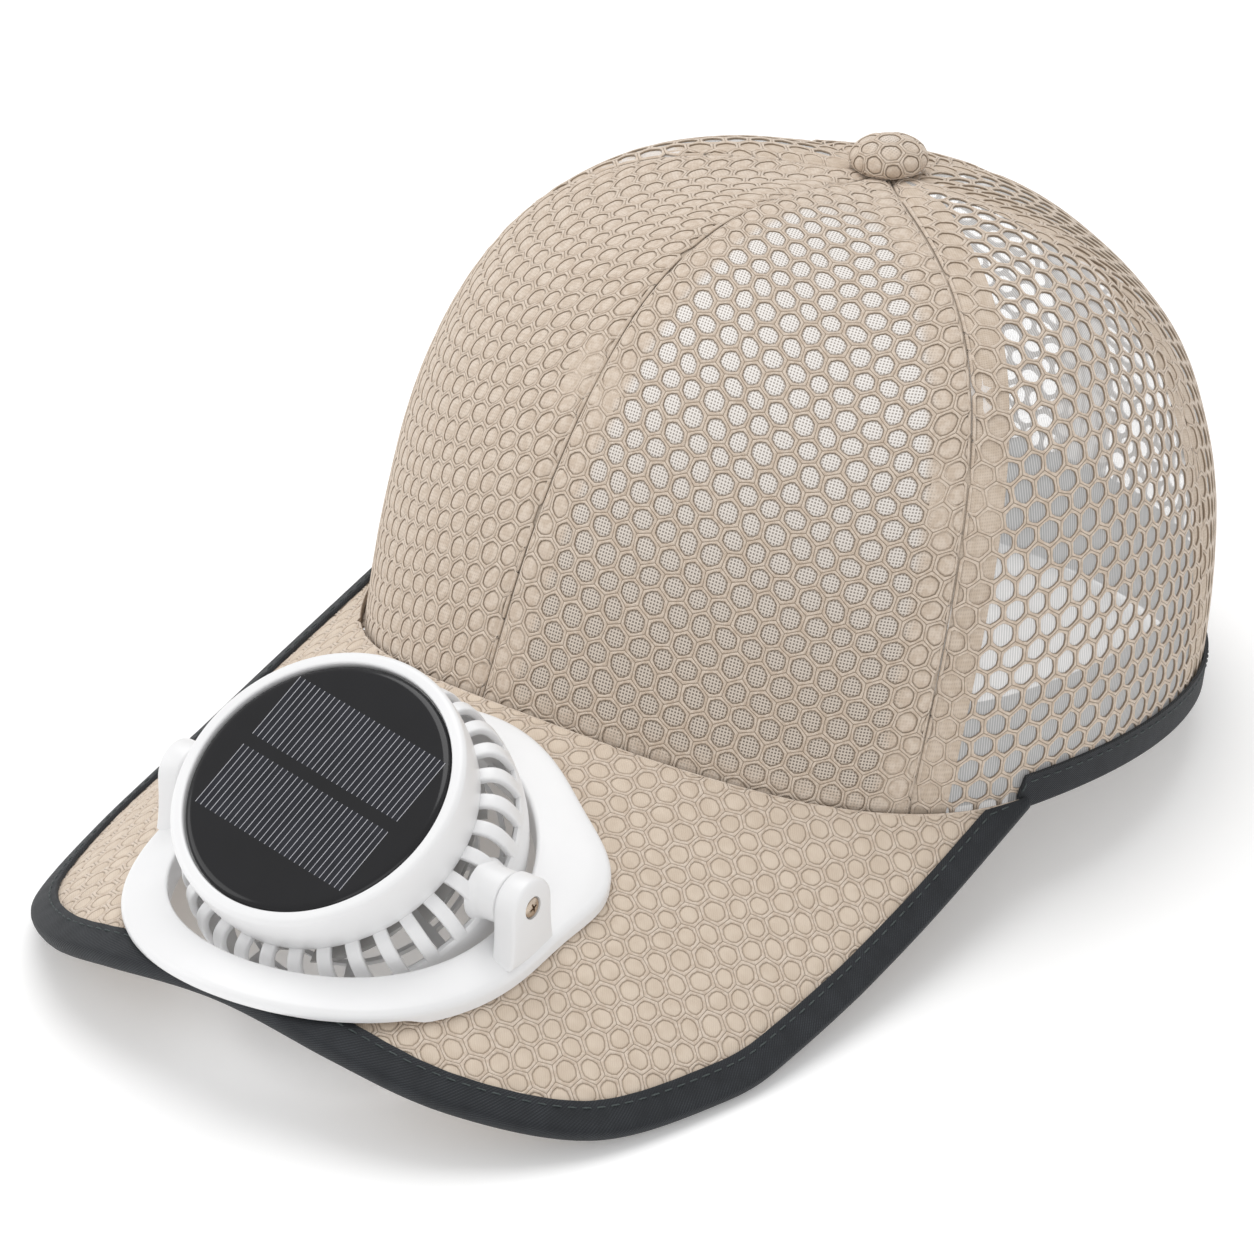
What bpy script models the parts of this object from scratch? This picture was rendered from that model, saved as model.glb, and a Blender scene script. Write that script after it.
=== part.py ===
"""Solar cap: a six-panel mesh cap with a tilting solar fan set into its visor.

Metres, +Z up. The visor points along -Y and the wearer's left is +X. The cap stands on z = 0 on
the visor's two front corners and the crown's rear edge, with its bounding box centred on the origin.
"""
from math import asin, cos, exp, hypot, pi, radians, sin

import bmesh
import bpy
from mathutils import Matrix, Vector

# Clearances
GAP = 0.0003                    # between pieces that touch
PIN_GAP = 0.0003                # round a pin in its hole

# Crown
CROWN_HALF_WIDTH = 0.0864       # outside, across the lower edge
CROWN_HALF_LENGTH = 0.0903      # outside, along the lower edge
CROWN_HEIGHT = 0.1131           # of the meeting point of the panels above the floor
CROWN_WALL = 0.0016
APEX_SETBACK = 0.0355           # of the panels' meeting point behind the middle of the lower edge
APEX_SLOPE = 0.087              # the top falls towards the rear
APEX_HOLE = 0.0032              # radius left open under the button
CROWN_TURN = radians(-7.3)      # the crown is sewn on slightly turned
JOIN_ANGLE = radians(70.0)      # where the visor ends, measured from the front

# Crown profile in three directions: how far its lower half rises, how much it leans out per unit of
# rise, and how far the top reaches out level from the meeting point
PROFILE = {
    "front": {"rise": 0.1078, "lean": -0.479, "top_reach": 0.0326},
    "side": {"rise": 0.1163, "lean": 0.040, "top_reach": 0.0204},
    "rear": {"rise": 0.0512, "lean": 0.360, "top_reach": 0.0521},
}

# Seams between the panels: angle from the front seam, and how far each bows to the rear half way up
SEAMS = [
    {"angle": radians(-180.0), "bow": 0.0},
    {"angle": radians(-120.0), "bow": radians(-6.0)},
    {"angle": radians(-60.9), "bow": radians(-13.4)},
    {"angle": 0.0, "bow": radians(-2.8)},
    {"angle": radians(60.9), "bow": radians(13.4)},
    {"angle": radians(120.0), "bow": radians(6.0)},
    {"angle": radians(180.0), "bow": 0.0},
]
PANEL_NAMES = [
    "rear_panel_right", "side_panel_right", "front_panel_right",
    "front_panel_left", "side_panel_left", "rear_panel_left",
]
PANEL_COLUMNS = 8
PANEL_ROWS = 10
ROW_BUNCHING = 0.40             # how much closer the rows lie near the lower edge
SEAM_SHARE = 0.75               # of the gap, left at each side of a seam

# Button
BUTTON_RADIUS = 0.0083
BUTTON_DOME = 0.0046
BUTTON_SKIRT = 0.0016
BUTTON_SHANK = 0.0016

# Sweatband
SWEATBAND_HEIGHT = 0.0240
SWEATBAND_THICKNESS = 0.0018
SWEATBAND_START = 0.0010        # above the crown's lower edge

# Visor
VISOR_INSET = 0.0034            # of its side edges inside the crown's widest
VISOR_HALF_WIDTH = CROWN_HALF_WIDTH - VISOR_INSET
VISOR_REACH = 0.0940            # beyond the front of the crown
VISOR_THICKNESS = 0.0024
VISOR_ARCH = 0.0340             # fall from the middle to the side edges
VISOR_ARCH_GROWTH = 2.04         # extra share of the arch for each metre forward
VISOR_FLATNESS = 0.17           # 0 is a round arch, more is flat under the fan and steeper at the sides
VISOR_FALL_MIDDLE = 0.0085      # fall of the middle line from the crown to the fan's centre
VISOR_FALL_TIP = 0.0175         # fall of the middle line from the crown to the tip
VISOR_SIDE_RISE = 0.1673        # slope of the surface beside the crown
VISOR_STATIONS = 46             # facets along the outline
VISOR_END = 0.014               # share of the outline left free at each join
VISOR_EDGE_BUNCHING = 1.5       # more is finer facets near the outline
# Outline from the tip to the join: shares of the half width, and of the reach from join line to tip
VISOR_OUTLINE = [
    {"across": 0.0, "forward": 1.0},
    {"across": 0.331, "forward": 0.994},
    {"across": 0.598, "forward": 0.946},
    {"across": 0.829, "forward": 0.825},
    {"across": 0.952, "forward": 0.641},
    {"across": 0.986, "forward": 0.503},
    {"across": 0.999, "forward": 0.257},
    {"across": 0.990, "forward": 0.0},
]

# Binding
BINDING_THICKNESS = 0.0007
BINDING_WIDTH_FRONT = 0.0074    # on the visor's tip
BINDING_WIDTH_SIDE = 0.0044     # on the visor's sides
BINDING_WIDTH_RIM = 0.0068      # on the crown
# Outside of the visor's fold from top to underside: shares of its stand-off and of its half thickness
BINDING_FOLD = [
    {"outward": 0.0, "up": 1.0},
    {"outward": 0.85, "up": 0.6},
    {"outward": 1.0, "up": 0.0},
    {"outward": 0.85, "up": -0.6},
    {"outward": 0.0, "up": -1.0},
]

# Fan plate
FAN_SETBACK = 0.0528            # of the fan's centre in front of the crown
PLATE_RADIUS = 0.0450
PLATE_OPENING = 0.0358
PLATE_THICKNESS = 0.0024
PLATE_LOBE = 0.0056             # how far each rear lobe stands out
PLATE_LOBE_ANGLE = radians(120.0)
PLATE_LOBE_SPREAD = radians(15.0)
COLLAR_WALL = 0.0015
COLLAR_DROP = 0.0010            # below the visor's underside
EAR_OUTER = 0.0445              # outer face from the middle
EAR_THICKNESS = 0.0052
EAR_RADIUS = 0.0059
EAR_BASE = 0.0126               # length of its foot

# Fan head: heights are along its own axis from the pivot
PIVOT_HEIGHT = 0.0011           # above the plate's top at its centre
HEAD_TILT = radians(32.5)       # of the head's axis forward from upright
HEAD_CLEARANCE = 0.0013         # of the head's round body inside the plate's opening
DRUM_RADIUS = 0.0304
DRUM_FOOT_RADIUS = 0.0293
DRUM_TOP = 0.0190
DRUM_FOOT = 0.0070
DRUM_WALL = 0.0016
SLAT_COUNT = 32
SLAT_WIDTH = 0.0029
SLAT_THICKNESS = 0.0017
LOWER_RING_TOP = -0.0015
LOWER_RING_FOOT = -0.0135       # low enough to close the plate's opening behind the tilted head
LOWER_RING_WALL = 0.0017
HOUSING_SEGMENTS = 32
BOSS_RADIUS = 0.0053
GUARD_HUB_RADIUS = 0.0090
GUARD_SPOKES = 8
GUARD_THICKNESS = 0.0014
MOTOR_RADIUS = 0.0095
MOTOR_FOOT = 0.0066
SHAFT_RADIUS = 0.0010

# Solar panel
SOLAR_RADIUS = 0.0273
SOLAR_THICKNESS = 0.0018

# Impeller
HUB_RADIUS = 0.0085
HUB_TOP = 0.0060
HUB_FOOT = -0.0026
BLADE_COUNT = 7
BLADE_TIP = 0.0280
BLADE_THICKNESS = 0.0012
BLADE_CHORD = radians(40.0)
BLADE_RISE = 0.0062

# Screws
SCREW_HEAD_RADIUS = 0.0021
SCREW_HEAD_HEIGHT = 0.0010
SCREW_SHAFT_RADIUS = 0.0012
SCREW_REACH = 0.0042            # into the boss
SCREW_RECESS = 0.0006

COLOURS = {
    "mesh": ((0.59, 0.47, 0.35), 0.85, 0.0),
    "sweatband_cloth": ((0.10, 0.105, 0.11), 0.90, 0.0),
    "binding_cloth": ((0.026, 0.032, 0.042), 0.80, 0.0),
    "white_plastic": ((0.86, 0.86, 0.86), 0.35, 0.0),
    "solar_glass": ((0.012, 0.012, 0.014), 0.12, 0.0),
    "impeller_plastic": ((0.55, 0.53, 0.50), 0.40, 0.0),
    "screw_steel": ((0.55, 0.48, 0.40), 0.30, 1.0),
}


def clear_scene():
    for scene_object in list(bpy.data.objects):
        bpy.data.objects.remove(scene_object, do_unlink=True)


def make_material(name):
    colour, roughness, metallic = COLOURS[name]
    material = bpy.data.materials.new(name)
    material.use_nodes = True
    shader = material.node_tree.nodes["Principled BSDF"]
    shader.inputs["Base Color"].default_value = (*colour, 1.0)
    shader.inputs["Roughness"].default_value = roughness
    shader.inputs["Metallic"].default_value = metallic
    return material


def smooth_step(t):
    t = min(max(t, 0.0), 1.0)
    return t * t * (3.0 - 2.0 * t)


def through_rows(rows, t):
    """A smooth curve through rows of numbers, for t from 0 at the first row to 1 at the last."""
    position = min(max(t, 0.0), 1.0) * (len(rows) - 1)
    i = min(int(position), len(rows) - 2)
    s = position - i
    before = rows[max(i - 1, 0)]
    after = rows[min(i + 2, len(rows) - 1)]
    point = []
    for a, b, c, d in zip(before, rows[i], rows[i + 1], after):
        slope_b = (c - a) / 2.0
        slope_c = (d - b) / 2.0
        point.append(b * (1 + 2 * s) * (1 - s) ** 2 + slope_b * s * (1 - s) ** 2
                     + c * s * s * (3 - 2 * s) - slope_c * s * s * (1 - s))
    return point


# Crown surface

def profile_value(angle, key):
    toward = cos(angle)
    end = "front" if toward > 0.0 else "rear"
    return PROFILE["side"][key] + (PROFILE[end][key] - PROFILE["side"][key]) * toward * toward


def lower_edge_plan(angle):
    return CROWN_HALF_WIDTH * sin(angle), -CROWN_HALF_LENGTH * cos(angle)


def crown_reach_to_rear():
    """How far the crown's bulging rear reaches behind the middle of its lower edge."""
    reach = 0.0
    for step in range(41):
        reach = max(reach, profile_point(pi, step / 40.0, 0.0).y)
    return reach


def profile_point(angle, rise, edge_height):
    """A point of the crown's outer surface, with the crown's middle at x = y = 0."""
    x, y = lower_edge_plan(angle)
    foot = Vector((x, y, edge_height))
    apex = Vector((0.0, APEX_SETBACK, CROWN_HEIGHT))
    outward = Vector((x, y - APEX_SETBACK, 0.0)).normalized()
    handle = profile_value(angle, "rise")
    low = foot + handle * (Vector((0.0, 0.0, 1.0)) + profile_value(angle, "lean") * outward)
    high = apex + profile_value(angle, "top_reach") * (outward - Vector((0.0, 0.0, APEX_SLOPE * outward.y)))
    left = 1.0 - rise
    return foot * left ** 3 + low * 3 * rise * left ** 2 + high * 3 * rise ** 2 * left + apex * rise ** 3


VISOR_TIP = CROWN_HALF_LENGTH + VISOR_REACH
BINDING_STANDOFF = GAP + BINDING_THICKNESS
PLATE_TIP = CROWN_HALF_LENGTH + FAN_SETBACK + PLATE_RADIUS
CROWN_Y = (max(VISOR_TIP + BINDING_STANDOFF, PLATE_TIP) - crown_reach_to_rear()) / 2.0
FAN_Y = CROWN_Y - CROWN_HALF_LENGTH - FAN_SETBACK


# Visor surface

def visor_drop(x, y):
    """How far the visor's middle surface lies below the middle of its seam with the crown."""
    forward = (CROWN_Y - CROWN_HALF_LENGTH) - y
    if forward < 0.0:
        fall = VISOR_SIDE_RISE * forward
    else:
        share = forward / VISOR_REACH
        fan_share = FAN_SETBACK / VISOR_REACH
        bend = (VISOR_FALL_TIP * fan_share - VISOR_FALL_MIDDLE) / (fan_share - fan_share ** 2)
        fall = (VISOR_FALL_TIP - bend) * share + bend * share ** 2
    flat = VISOR_FLATNESS * smooth_step(forward / FAN_SETBACK)
    across = min(abs(x) / VISOR_HALF_WIDTH, 1.2)
    arch = VISOR_ARCH * (1.0 + VISOR_ARCH_GROWTH * forward)
    return fall + arch * ((1.0 - flat) * across ** 2 + flat * across ** 4)


def visor_normal(x, y):
    step = 0.0005
    slope_x = (visor_drop(x + step, y) - visor_drop(x - step, y)) / (2 * step)
    slope_y = (visor_drop(x, y + step) - visor_drop(x, y - step)) / (2 * step)
    return Vector((slope_x, slope_y, 1.0)).normalized()


JOIN_Y = CROWN_Y + lower_edge_plan(JOIN_ANGLE)[1]
VISOR_HALF_ROWS = [(row["across"], row["forward"]) for row in VISOR_OUTLINE]
VISOR_ROWS = [(-across, forward) for across, forward in reversed(VISOR_HALF_ROWS)] + VISOR_HALF_ROWS[1:]


def visor_outline(t):
    """Plan point of the visor's outer edge, for t from 0 at the right join to 1 at the left."""
    across, forward = through_rows(VISOR_ROWS, t)
    tip_y = CROWN_Y - VISOR_TIP
    return across * VISOR_HALF_WIDTH, JOIN_Y + (tip_y - JOIN_Y) * forward


def visor_inward(t):
    """Plan direction from the outline into the visor, square to its edge."""
    step = 0.002
    x0, y0 = visor_outline(t - step)
    x1, y1 = visor_outline(t + step)
    length = hypot(x1 - x0, y1 - y0)
    return -(y1 - y0) / length, (x1 - x0) / length


BINDING_HALF = VISOR_THICKNESS / 2 + GAP + BINDING_THICKNESS
VISOR_HOLE = PLATE_OPENING + COLLAR_WALL + GAP


def visor_low_point():
    """The lowest point of the binding under the visor, with the seam's middle at z = 0."""
    lowest = 0.0
    for step in range(401):
        t = step / 400.0
        x, y = visor_outline(t)
        in_x, in_y = visor_inward(t)
        for row in BINDING_FOLD:
            edge_x = x - in_x * BINDING_STANDOFF * row["outward"]
            edge_y = y - in_y * BINDING_STANDOFF * row["outward"]
            up = BINDING_HALF * row["up"] * visor_normal(edge_x, edge_y).z
            lowest = min(lowest, up - visor_drop(edge_x, edge_y))
    return lowest


SEAM_HEIGHT = -visor_low_point()


def visor_point(x, y, offset):
    """A point at an offset above the visor's middle surface."""
    return Vector((x, y, SEAM_HEIGHT - visor_drop(x, y))) + visor_normal(x, y) * offset


# Crown placed behind the visor

def lower_edge_height(angle):
    """Height of the crown's lower edge: along the visor's underside, then down to the floor."""
    turned = abs(angle)
    front = min(turned, JOIN_ANGLE)
    x, y = lower_edge_plan(front)
    height = SEAM_HEIGHT - visor_drop(x, CROWN_Y + y) - VISOR_THICKNESS / 2
    if turned <= JOIN_ANGLE:
        return height
    left = (pi - turned) / (pi - JOIN_ANGLE)
    return BINDING_STANDOFF + (height - BINDING_STANDOFF) * smooth_step(left)


def crown_point(angle, rise, inset=0.0):
    """A point on the crown's outer surface, or inside it by an inset."""
    angle = (angle + pi) % (2 * pi) - pi
    height = lower_edge_height(angle)
    point = profile_point(angle, rise, height)
    if inset:
        step = 0.004
        along = profile_point(angle, rise + step, height) - profile_point(angle, rise - step, height)
        ahead = (angle + step + pi) % (2 * pi) - pi
        behind = (angle - step + pi) % (2 * pi) - pi
        across = (profile_point(ahead, rise, lower_edge_height(ahead))
                  - profile_point(behind, rise, lower_edge_height(behind)))
        point = point - across.cross(along).normalized() * inset
    return point + Vector((0.0, CROWN_Y, 0.0))


def rise_for_length(angle, length):
    """The rise at a length along the surface above the lower edge, for the crown's lower part."""
    lean = profile_value(angle, "lean")
    return length / (3.0 * profile_value(angle, "rise") * hypot(1.0, lean))


def seam_angle(row, rise):
    """Angle of a seam at a rise; the row may lie between two seams."""
    i = min(int(row), len(SEAMS) - 2)
    share = row - i
    angle = SEAMS[i]["angle"] * (1 - share) + SEAMS[i + 1]["angle"] * share
    bow = SEAMS[i]["bow"] * (1 - share) + SEAMS[i + 1]["bow"] * share
    return angle + CROWN_TURN + bow * sin(pi * min(rise, 1.0))


def column_angles():
    """Angles of the panels' columns of facets at the lower edge, once round the crown."""
    panels = len(PANEL_NAMES)
    return [seam_angle(column / PANEL_COLUMNS, 0.0) for column in range(panels * PANEL_COLUMNS)]


# Mesh helpers

def link(mesh_object, material_name):
    PARTS.objects.link(mesh_object)
    mesh_object.data.materials.append(MATERIALS[material_name])
    return mesh_object


def shade(mesh_object, angle=40.0):
    mesh_object.data.shade_smooth()
    mesh_object.data.set_sharp_from_angle(angle=radians(angle))


def mesh_from(name, build):
    """A mesh filled by a function that adds to a bmesh."""
    mesh = bpy.data.meshes.new(name)
    bm = bmesh.new()
    build(bm)
    bmesh.ops.recalc_face_normals(bm, faces=bm.faces)
    bm.to_mesh(mesh)
    bm.free()
    return mesh


def loft(name, sections, closed):
    """A closed solid through sections with equal numbers of points, each section a closed loop."""
    def build(bm):
        loops = [[bm.verts.new(point) for point in section] for section in sections]
        spans = list(zip(loops, loops[1:]))
        if closed:
            spans.append((loops[-1], loops[0]))
        for first, second in spans:
            for i in range(len(first)):
                j = (i + 1) % len(first)
                bm.faces.new((first[i], first[j], second[j], second[i]))
        if not closed:
            bm.faces.new(loops[0])
            bm.faces.new(loops[-1])
            bmesh.ops.triangulate(bm, faces=[face for face in bm.faces if len(face.verts) > 4])
    return mesh_from(name, build)


def bent_sheet(name, columns, rows, place, material_name, thickness, offset):
    """A flat grid bent by place(u, v), both 0 to 1, and thickened into a wall."""
    bpy.ops.mesh.primitive_grid_add(x_subdivisions=columns, y_subdivisions=rows, size=1.0)
    sheet = bpy.context.object
    sheet.name = name
    sheet.data.name = name
    for vertex in sheet.data.vertices:
        vertex.co = place(vertex.co.x + 0.5, vertex.co.y + 0.5)
    for collection in list(sheet.users_collection):
        collection.objects.unlink(sheet)
    link(sheet, material_name)
    wall = sheet.modifiers.new("wall", "SOLIDIFY")
    wall.thickness = thickness
    wall.offset = offset
    wall.use_even_offset = True
    shade(sheet)
    return sheet


def turned_mesh(name, profile, segments):
    """A closed profile of (radius, height) points turned round the Z axis; radius 0 meets the axis."""
    def build(bm):
        verts = [bm.verts.new((radius, 0.0, height)) for radius, height in profile]
        edges = [bm.edges.new((a, b)) for a, b in zip(verts, verts[1:])]
        if profile[0][0] > 0.0:
            edges.append(bm.edges.new((verts[-1], verts[0])))
        bmesh.ops.spin(bm, geom=verts + edges, cent=(0, 0, 0), axis=(0, 0, 1), angle=2 * pi,
                       steps=segments, use_merge=True)
        bmesh.ops.remove_doubles(bm, verts=bm.verts, dist=0.000005)
    return mesh_from(name, build)


def extruded_mesh(name, outline, depth):
    """A flat outline of (x, y) points, extruded along +Z."""
    def build(bm):
        face = bm.faces.new([bm.verts.new((x, y, 0.0)) for x, y in outline])
        swept = bmesh.ops.extrude_face_region(bm, geom=[face])
        top = [item for item in swept["geom"] if isinstance(item, bmesh.types.BMVert)]
        bmesh.ops.translate(bm, verts=top, vec=(0.0, 0.0, depth))
    return mesh_from(name, build)


def cylinder_mesh(name, radius, depth, segments):
    def build(bm):
        bmesh.ops.create_cone(bm, cap_ends=True, segments=segments, radius1=radius, radius2=radius, depth=depth)
    return mesh_from(name, build)


def tool(name, mesh, matrix):
    """A guide shape for a Boolean, kept out of the part."""
    cutter = bpy.data.objects.new(name, mesh)
    cutter.matrix_world = matrix
    cutter.hide_render = True
    cutter.display_type = "WIRE"
    CUTTERS.objects.link(cutter)
    return cutter


def boolean(target, operation, operand):
    modifier = target.modifiers.new(operation.lower(), "BOOLEAN")
    modifier.operation = operation
    modifier.solver = "EXACT"
    if isinstance(operand, bpy.types.Collection):
        modifier.operand_type = "COLLECTION"
        modifier.collection = operand
    else:
        modifier.object = operand


def arc_points(centre, radius, start, end, count):
    angles = [start + (end - start) * i / (count - 1) for i in range(count)]
    return [(centre[0] + radius * cos(angle), centre[1] + radius * sin(angle)) for angle in angles]


# Soft parts

def build_panels():
    """Six panels, each a sheet between two seams, thickened inwards."""
    top_rise = 1.0 - APEX_HOLE / (3.0 * PROFILE["side"]["top_reach"])
    for index, name in enumerate(PANEL_NAMES):
        def place(u, v, index=index):
            rise = v * (1.0 - ROW_BUNCHING * (1.0 - v)) * top_rise
            first = seam_angle(index, rise)
            last = seam_angle(index + 1, rise)
            radius = (crown_point(first, rise) - Vector((0.0, CROWN_Y + APEX_SETBACK, 0.0))).xy.length
            edge = asin(min(GAP / max(radius, GAP * 4), 0.5)) * SEAM_SHARE
            return crown_point(first + edge + (last - first - 2 * edge) * u, rise)
        bent_sheet(name, PANEL_COLUMNS, PANEL_ROWS, place, "mesh", CROWN_WALL, -1.0)


def build_button():
    """Low covered dome on the meeting point of the panels, with its shank through the hole."""
    foot = GAP
    dome = arc_points((0.0, 0.0), 1.0, pi / 2, 0.0, 7)
    profile = [(BUTTON_RADIUS * x, foot + BUTTON_SKIRT + BUTTON_DOME * y) for x, y in dome]
    profile[0] = (0.0, profile[0][1])
    profile += [(BUTTON_RADIUS * 0.86, foot + BUTTON_SKIRT * 0.25), (BUTTON_SHANK, foot)]
    profile += [(BUTTON_SHANK, -CROWN_WALL), (0.0, -CROWN_WALL)]
    button = bpy.data.objects.new("button", turned_mesh("button", profile, 20))
    top = crown_point(0.0, 1.0)
    lift = APEX_SLOPE * BUTTON_RADIUS * 0.86
    button.location = top + Vector((0.0, 0.0, lift))
    link(button, "mesh")
    shade(button, 60.0)


def build_sweatband():
    """A closed band inside the crown's lower edge."""
    inset = CROWN_WALL + 2 * GAP + BINDING_THICKNESS
    steps = 2
    sections = []
    for angle in column_angles():
        lengths = [SWEATBAND_START + SWEATBAND_HEIGHT * i / steps for i in range(steps + 1)]
        outer = [crown_point(angle, rise_for_length(angle, length), inset) for length in lengths]
        deep = inset + SWEATBAND_THICKNESS
        inner = [crown_point(angle, rise_for_length(angle, length), deep) for length in reversed(lengths)]
        sections.append(outer + inner)
    band = bpy.data.objects.new("sweatband", loft("sweatband", sections, True))
    link(band, "sweatband_cloth")
    shade(band)


def build_visor():
    """Arched slab between the crown's front and the outline, with a round hole for the fan."""
    margin = radians(1.2)

    def place(u, v):
        angle = (JOIN_ANGLE - margin) * (2 * u - 1)
        x, y = lower_edge_plan(angle)
        scale = 1.0 + (GAP * 2 + VISOR_THICKNESS * 0.15) / hypot(x, y)
        inner = Vector((x * scale, CROWN_Y + y * scale))
        outer = Vector(visor_outline(VISOR_END + (1 - 2 * VISOR_END) * u))
        plan = inner.lerp(outer, 1.0 - (1.0 - v) ** VISOR_EDGE_BUNCHING)
        return visor_point(plan.x, plan.y, 0.0)
    visor = bent_sheet("visor", VISOR_STATIONS, 5, place, "mesh", VISOR_THICKNESS, 0.0)
    cutter = cylinder_mesh("visor_hole", VISOR_HOLE, 0.060, 60)
    centre = visor_point(0.0, FAN_Y, 0.0)
    boolean(visor, "DIFFERENCE", tool("visor_hole", cutter, Matrix.Translation(centre)))


def binding_width(t):
    """Width of the visor's binding: wide at the tip, narrow at the sides, thin where the visor ends."""
    x, y = visor_outline(t)
    across = abs(x) / VISOR_HALF_WIDTH
    width = BINDING_WIDTH_FRONT + (BINDING_WIDTH_SIDE - BINDING_WIDTH_FRONT) * smooth_step(across)
    wall_x = x / CROWN_HALF_WIDTH
    wall_y = (y - CROWN_Y) / CROWN_HALF_LENGTH
    room = (hypot(wall_x, wall_y) - 1.0) * CROWN_HALF_WIDTH
    fan_room = hypot(x, y - FAN_Y) - VISOR_HOLE
    return min(width, max(room - 3 * GAP, 0.0008), max(fan_room - 2 * GAP, 0.0008))


def build_visor_binding():
    """Tape folded round the visor's edge, from one join to the other."""
    sections = []
    inner_half = VISOR_THICKNESS / 2 + GAP
    for station in range(VISOR_STATIONS + 1):
        t = VISOR_END + (1 - 2 * VISOR_END) * station / VISOR_STATIONS
        x, y = visor_outline(t)
        in_x, in_y = visor_inward(t)
        width = binding_width(t)

        def at(inward, offset):
            return visor_point(x + in_x * inward, y + in_y * inward, offset)
        fold = [at(-BINDING_STANDOFF * row["outward"], BINDING_HALF * row["up"]) for row in BINDING_FOLD]
        section = [at(width, BINDING_HALF), *fold, at(width, -BINDING_HALF)]
        section += [at(width, -inner_half), at(-GAP, -inner_half), at(-GAP, inner_half), at(width, inner_half)]
        sections.append(section)
    binding = bpy.data.objects.new("visor_binding", loft("visor_binding", sections, False))
    link(binding, "binding_cloth")
    shade(binding, 60.0)


def build_rim_binding():
    """Tape folded round the crown's lower edge, from one end of the visor round the rear to the other."""
    start = JOIN_ANGLE + radians(2.0)
    end = 2 * pi - start
    turned = sorted(angle % (2 * pi) for angle in column_angles())
    between = [angle for angle in turned if start + radians(1.0) < angle < end - radians(1.0)]
    sections = []
    for angle in [start, *between, end]:

        def at(up, outset):
            return crown_point(angle, rise_for_length((angle + pi) % (2 * pi) - pi, up), -outset)
        outer = BINDING_STANDOFF
        inner = -CROWN_WALL - GAP
        section = [at(BINDING_WIDTH_RIM, outer), at(0.0, outer), at(-outer * 0.8, outer * 0.5)]
        section += [at(-outer, -CROWN_WALL * 0.5), at(-outer * 0.8, inner - outer * 0.3)]
        section += [at(0.0, inner - BINDING_THICKNESS), at(BINDING_WIDTH_RIM, inner - BINDING_THICKNESS)]
        section += [at(BINDING_WIDTH_RIM, inner), at(-GAP, inner), at(-GAP, GAP), at(BINDING_WIDTH_RIM, GAP)]
        sections.append(section)
    binding = bpy.data.objects.new("rim_binding", loft("rim_binding", sections, False))
    link(binding, "binding_cloth")
    shade(binding, 60.0)


# Fan plate

PLATE_OFFSET = BINDING_HALF + GAP
PIVOT = Vector((0.0, FAN_Y, visor_point(0.0, FAN_Y, PLATE_OFFSET + PLATE_THICKNESS).z + PIVOT_HEIGHT))
ACROSS = Matrix.Rotation(pi / 2, 4, "Y")


def plate_edge(angle):
    """Plan radius of the flange, with a rounded lobe at each rear corner; angle 0 points forward."""
    reach = PLATE_RADIUS
    for side in (-1.0, 1.0):
        away = (angle - side * PLATE_LOBE_ANGLE) / PLATE_LOBE_SPREAD
        reach += PLATE_LOBE * exp(-away * away)
    return reach


def plate_point(angle, radius, offset):
    """A point at a plan radius from the fan's centre and a height above the visor's middle surface."""
    x = radius * sin(angle)
    y = FAN_Y - radius * cos(angle)
    return Vector((x, y, SEAM_HEIGHT - visor_drop(x, y) + offset))


def over_binding(angle, radius):
    """Whether the flange there lies over the visor's binding, or close to it."""
    x = radius * sin(angle)
    y = FAN_Y - radius * cos(angle)
    near = BINDING_WIDTH_FRONT + 0.004
    edge = [visor_outline(step / 80.0) for step in range(81)]
    return any(hypot(x - edge_x, y - edge_y) < near for edge_x, edge_y in edge)


def ear_section(x):
    """Outline of an ear at one of its faces: round about the pivot, with its foot sunk in the flange."""
    sunk = PLATE_OFFSET + PLATE_THICKNESS * 0.6
    section = [PIVOT + Vector((x, across, up)) for across, up in arc_points((0.0, 0.0), EAR_RADIUS, 0.0, pi, 11)]
    for across in (-EAR_BASE / 2, EAR_BASE / 2):
        y = FAN_Y + across
        section.append(Vector((x, y, SEAM_HEIGHT - visor_drop(x, y) + sunk)))
    return section


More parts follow.
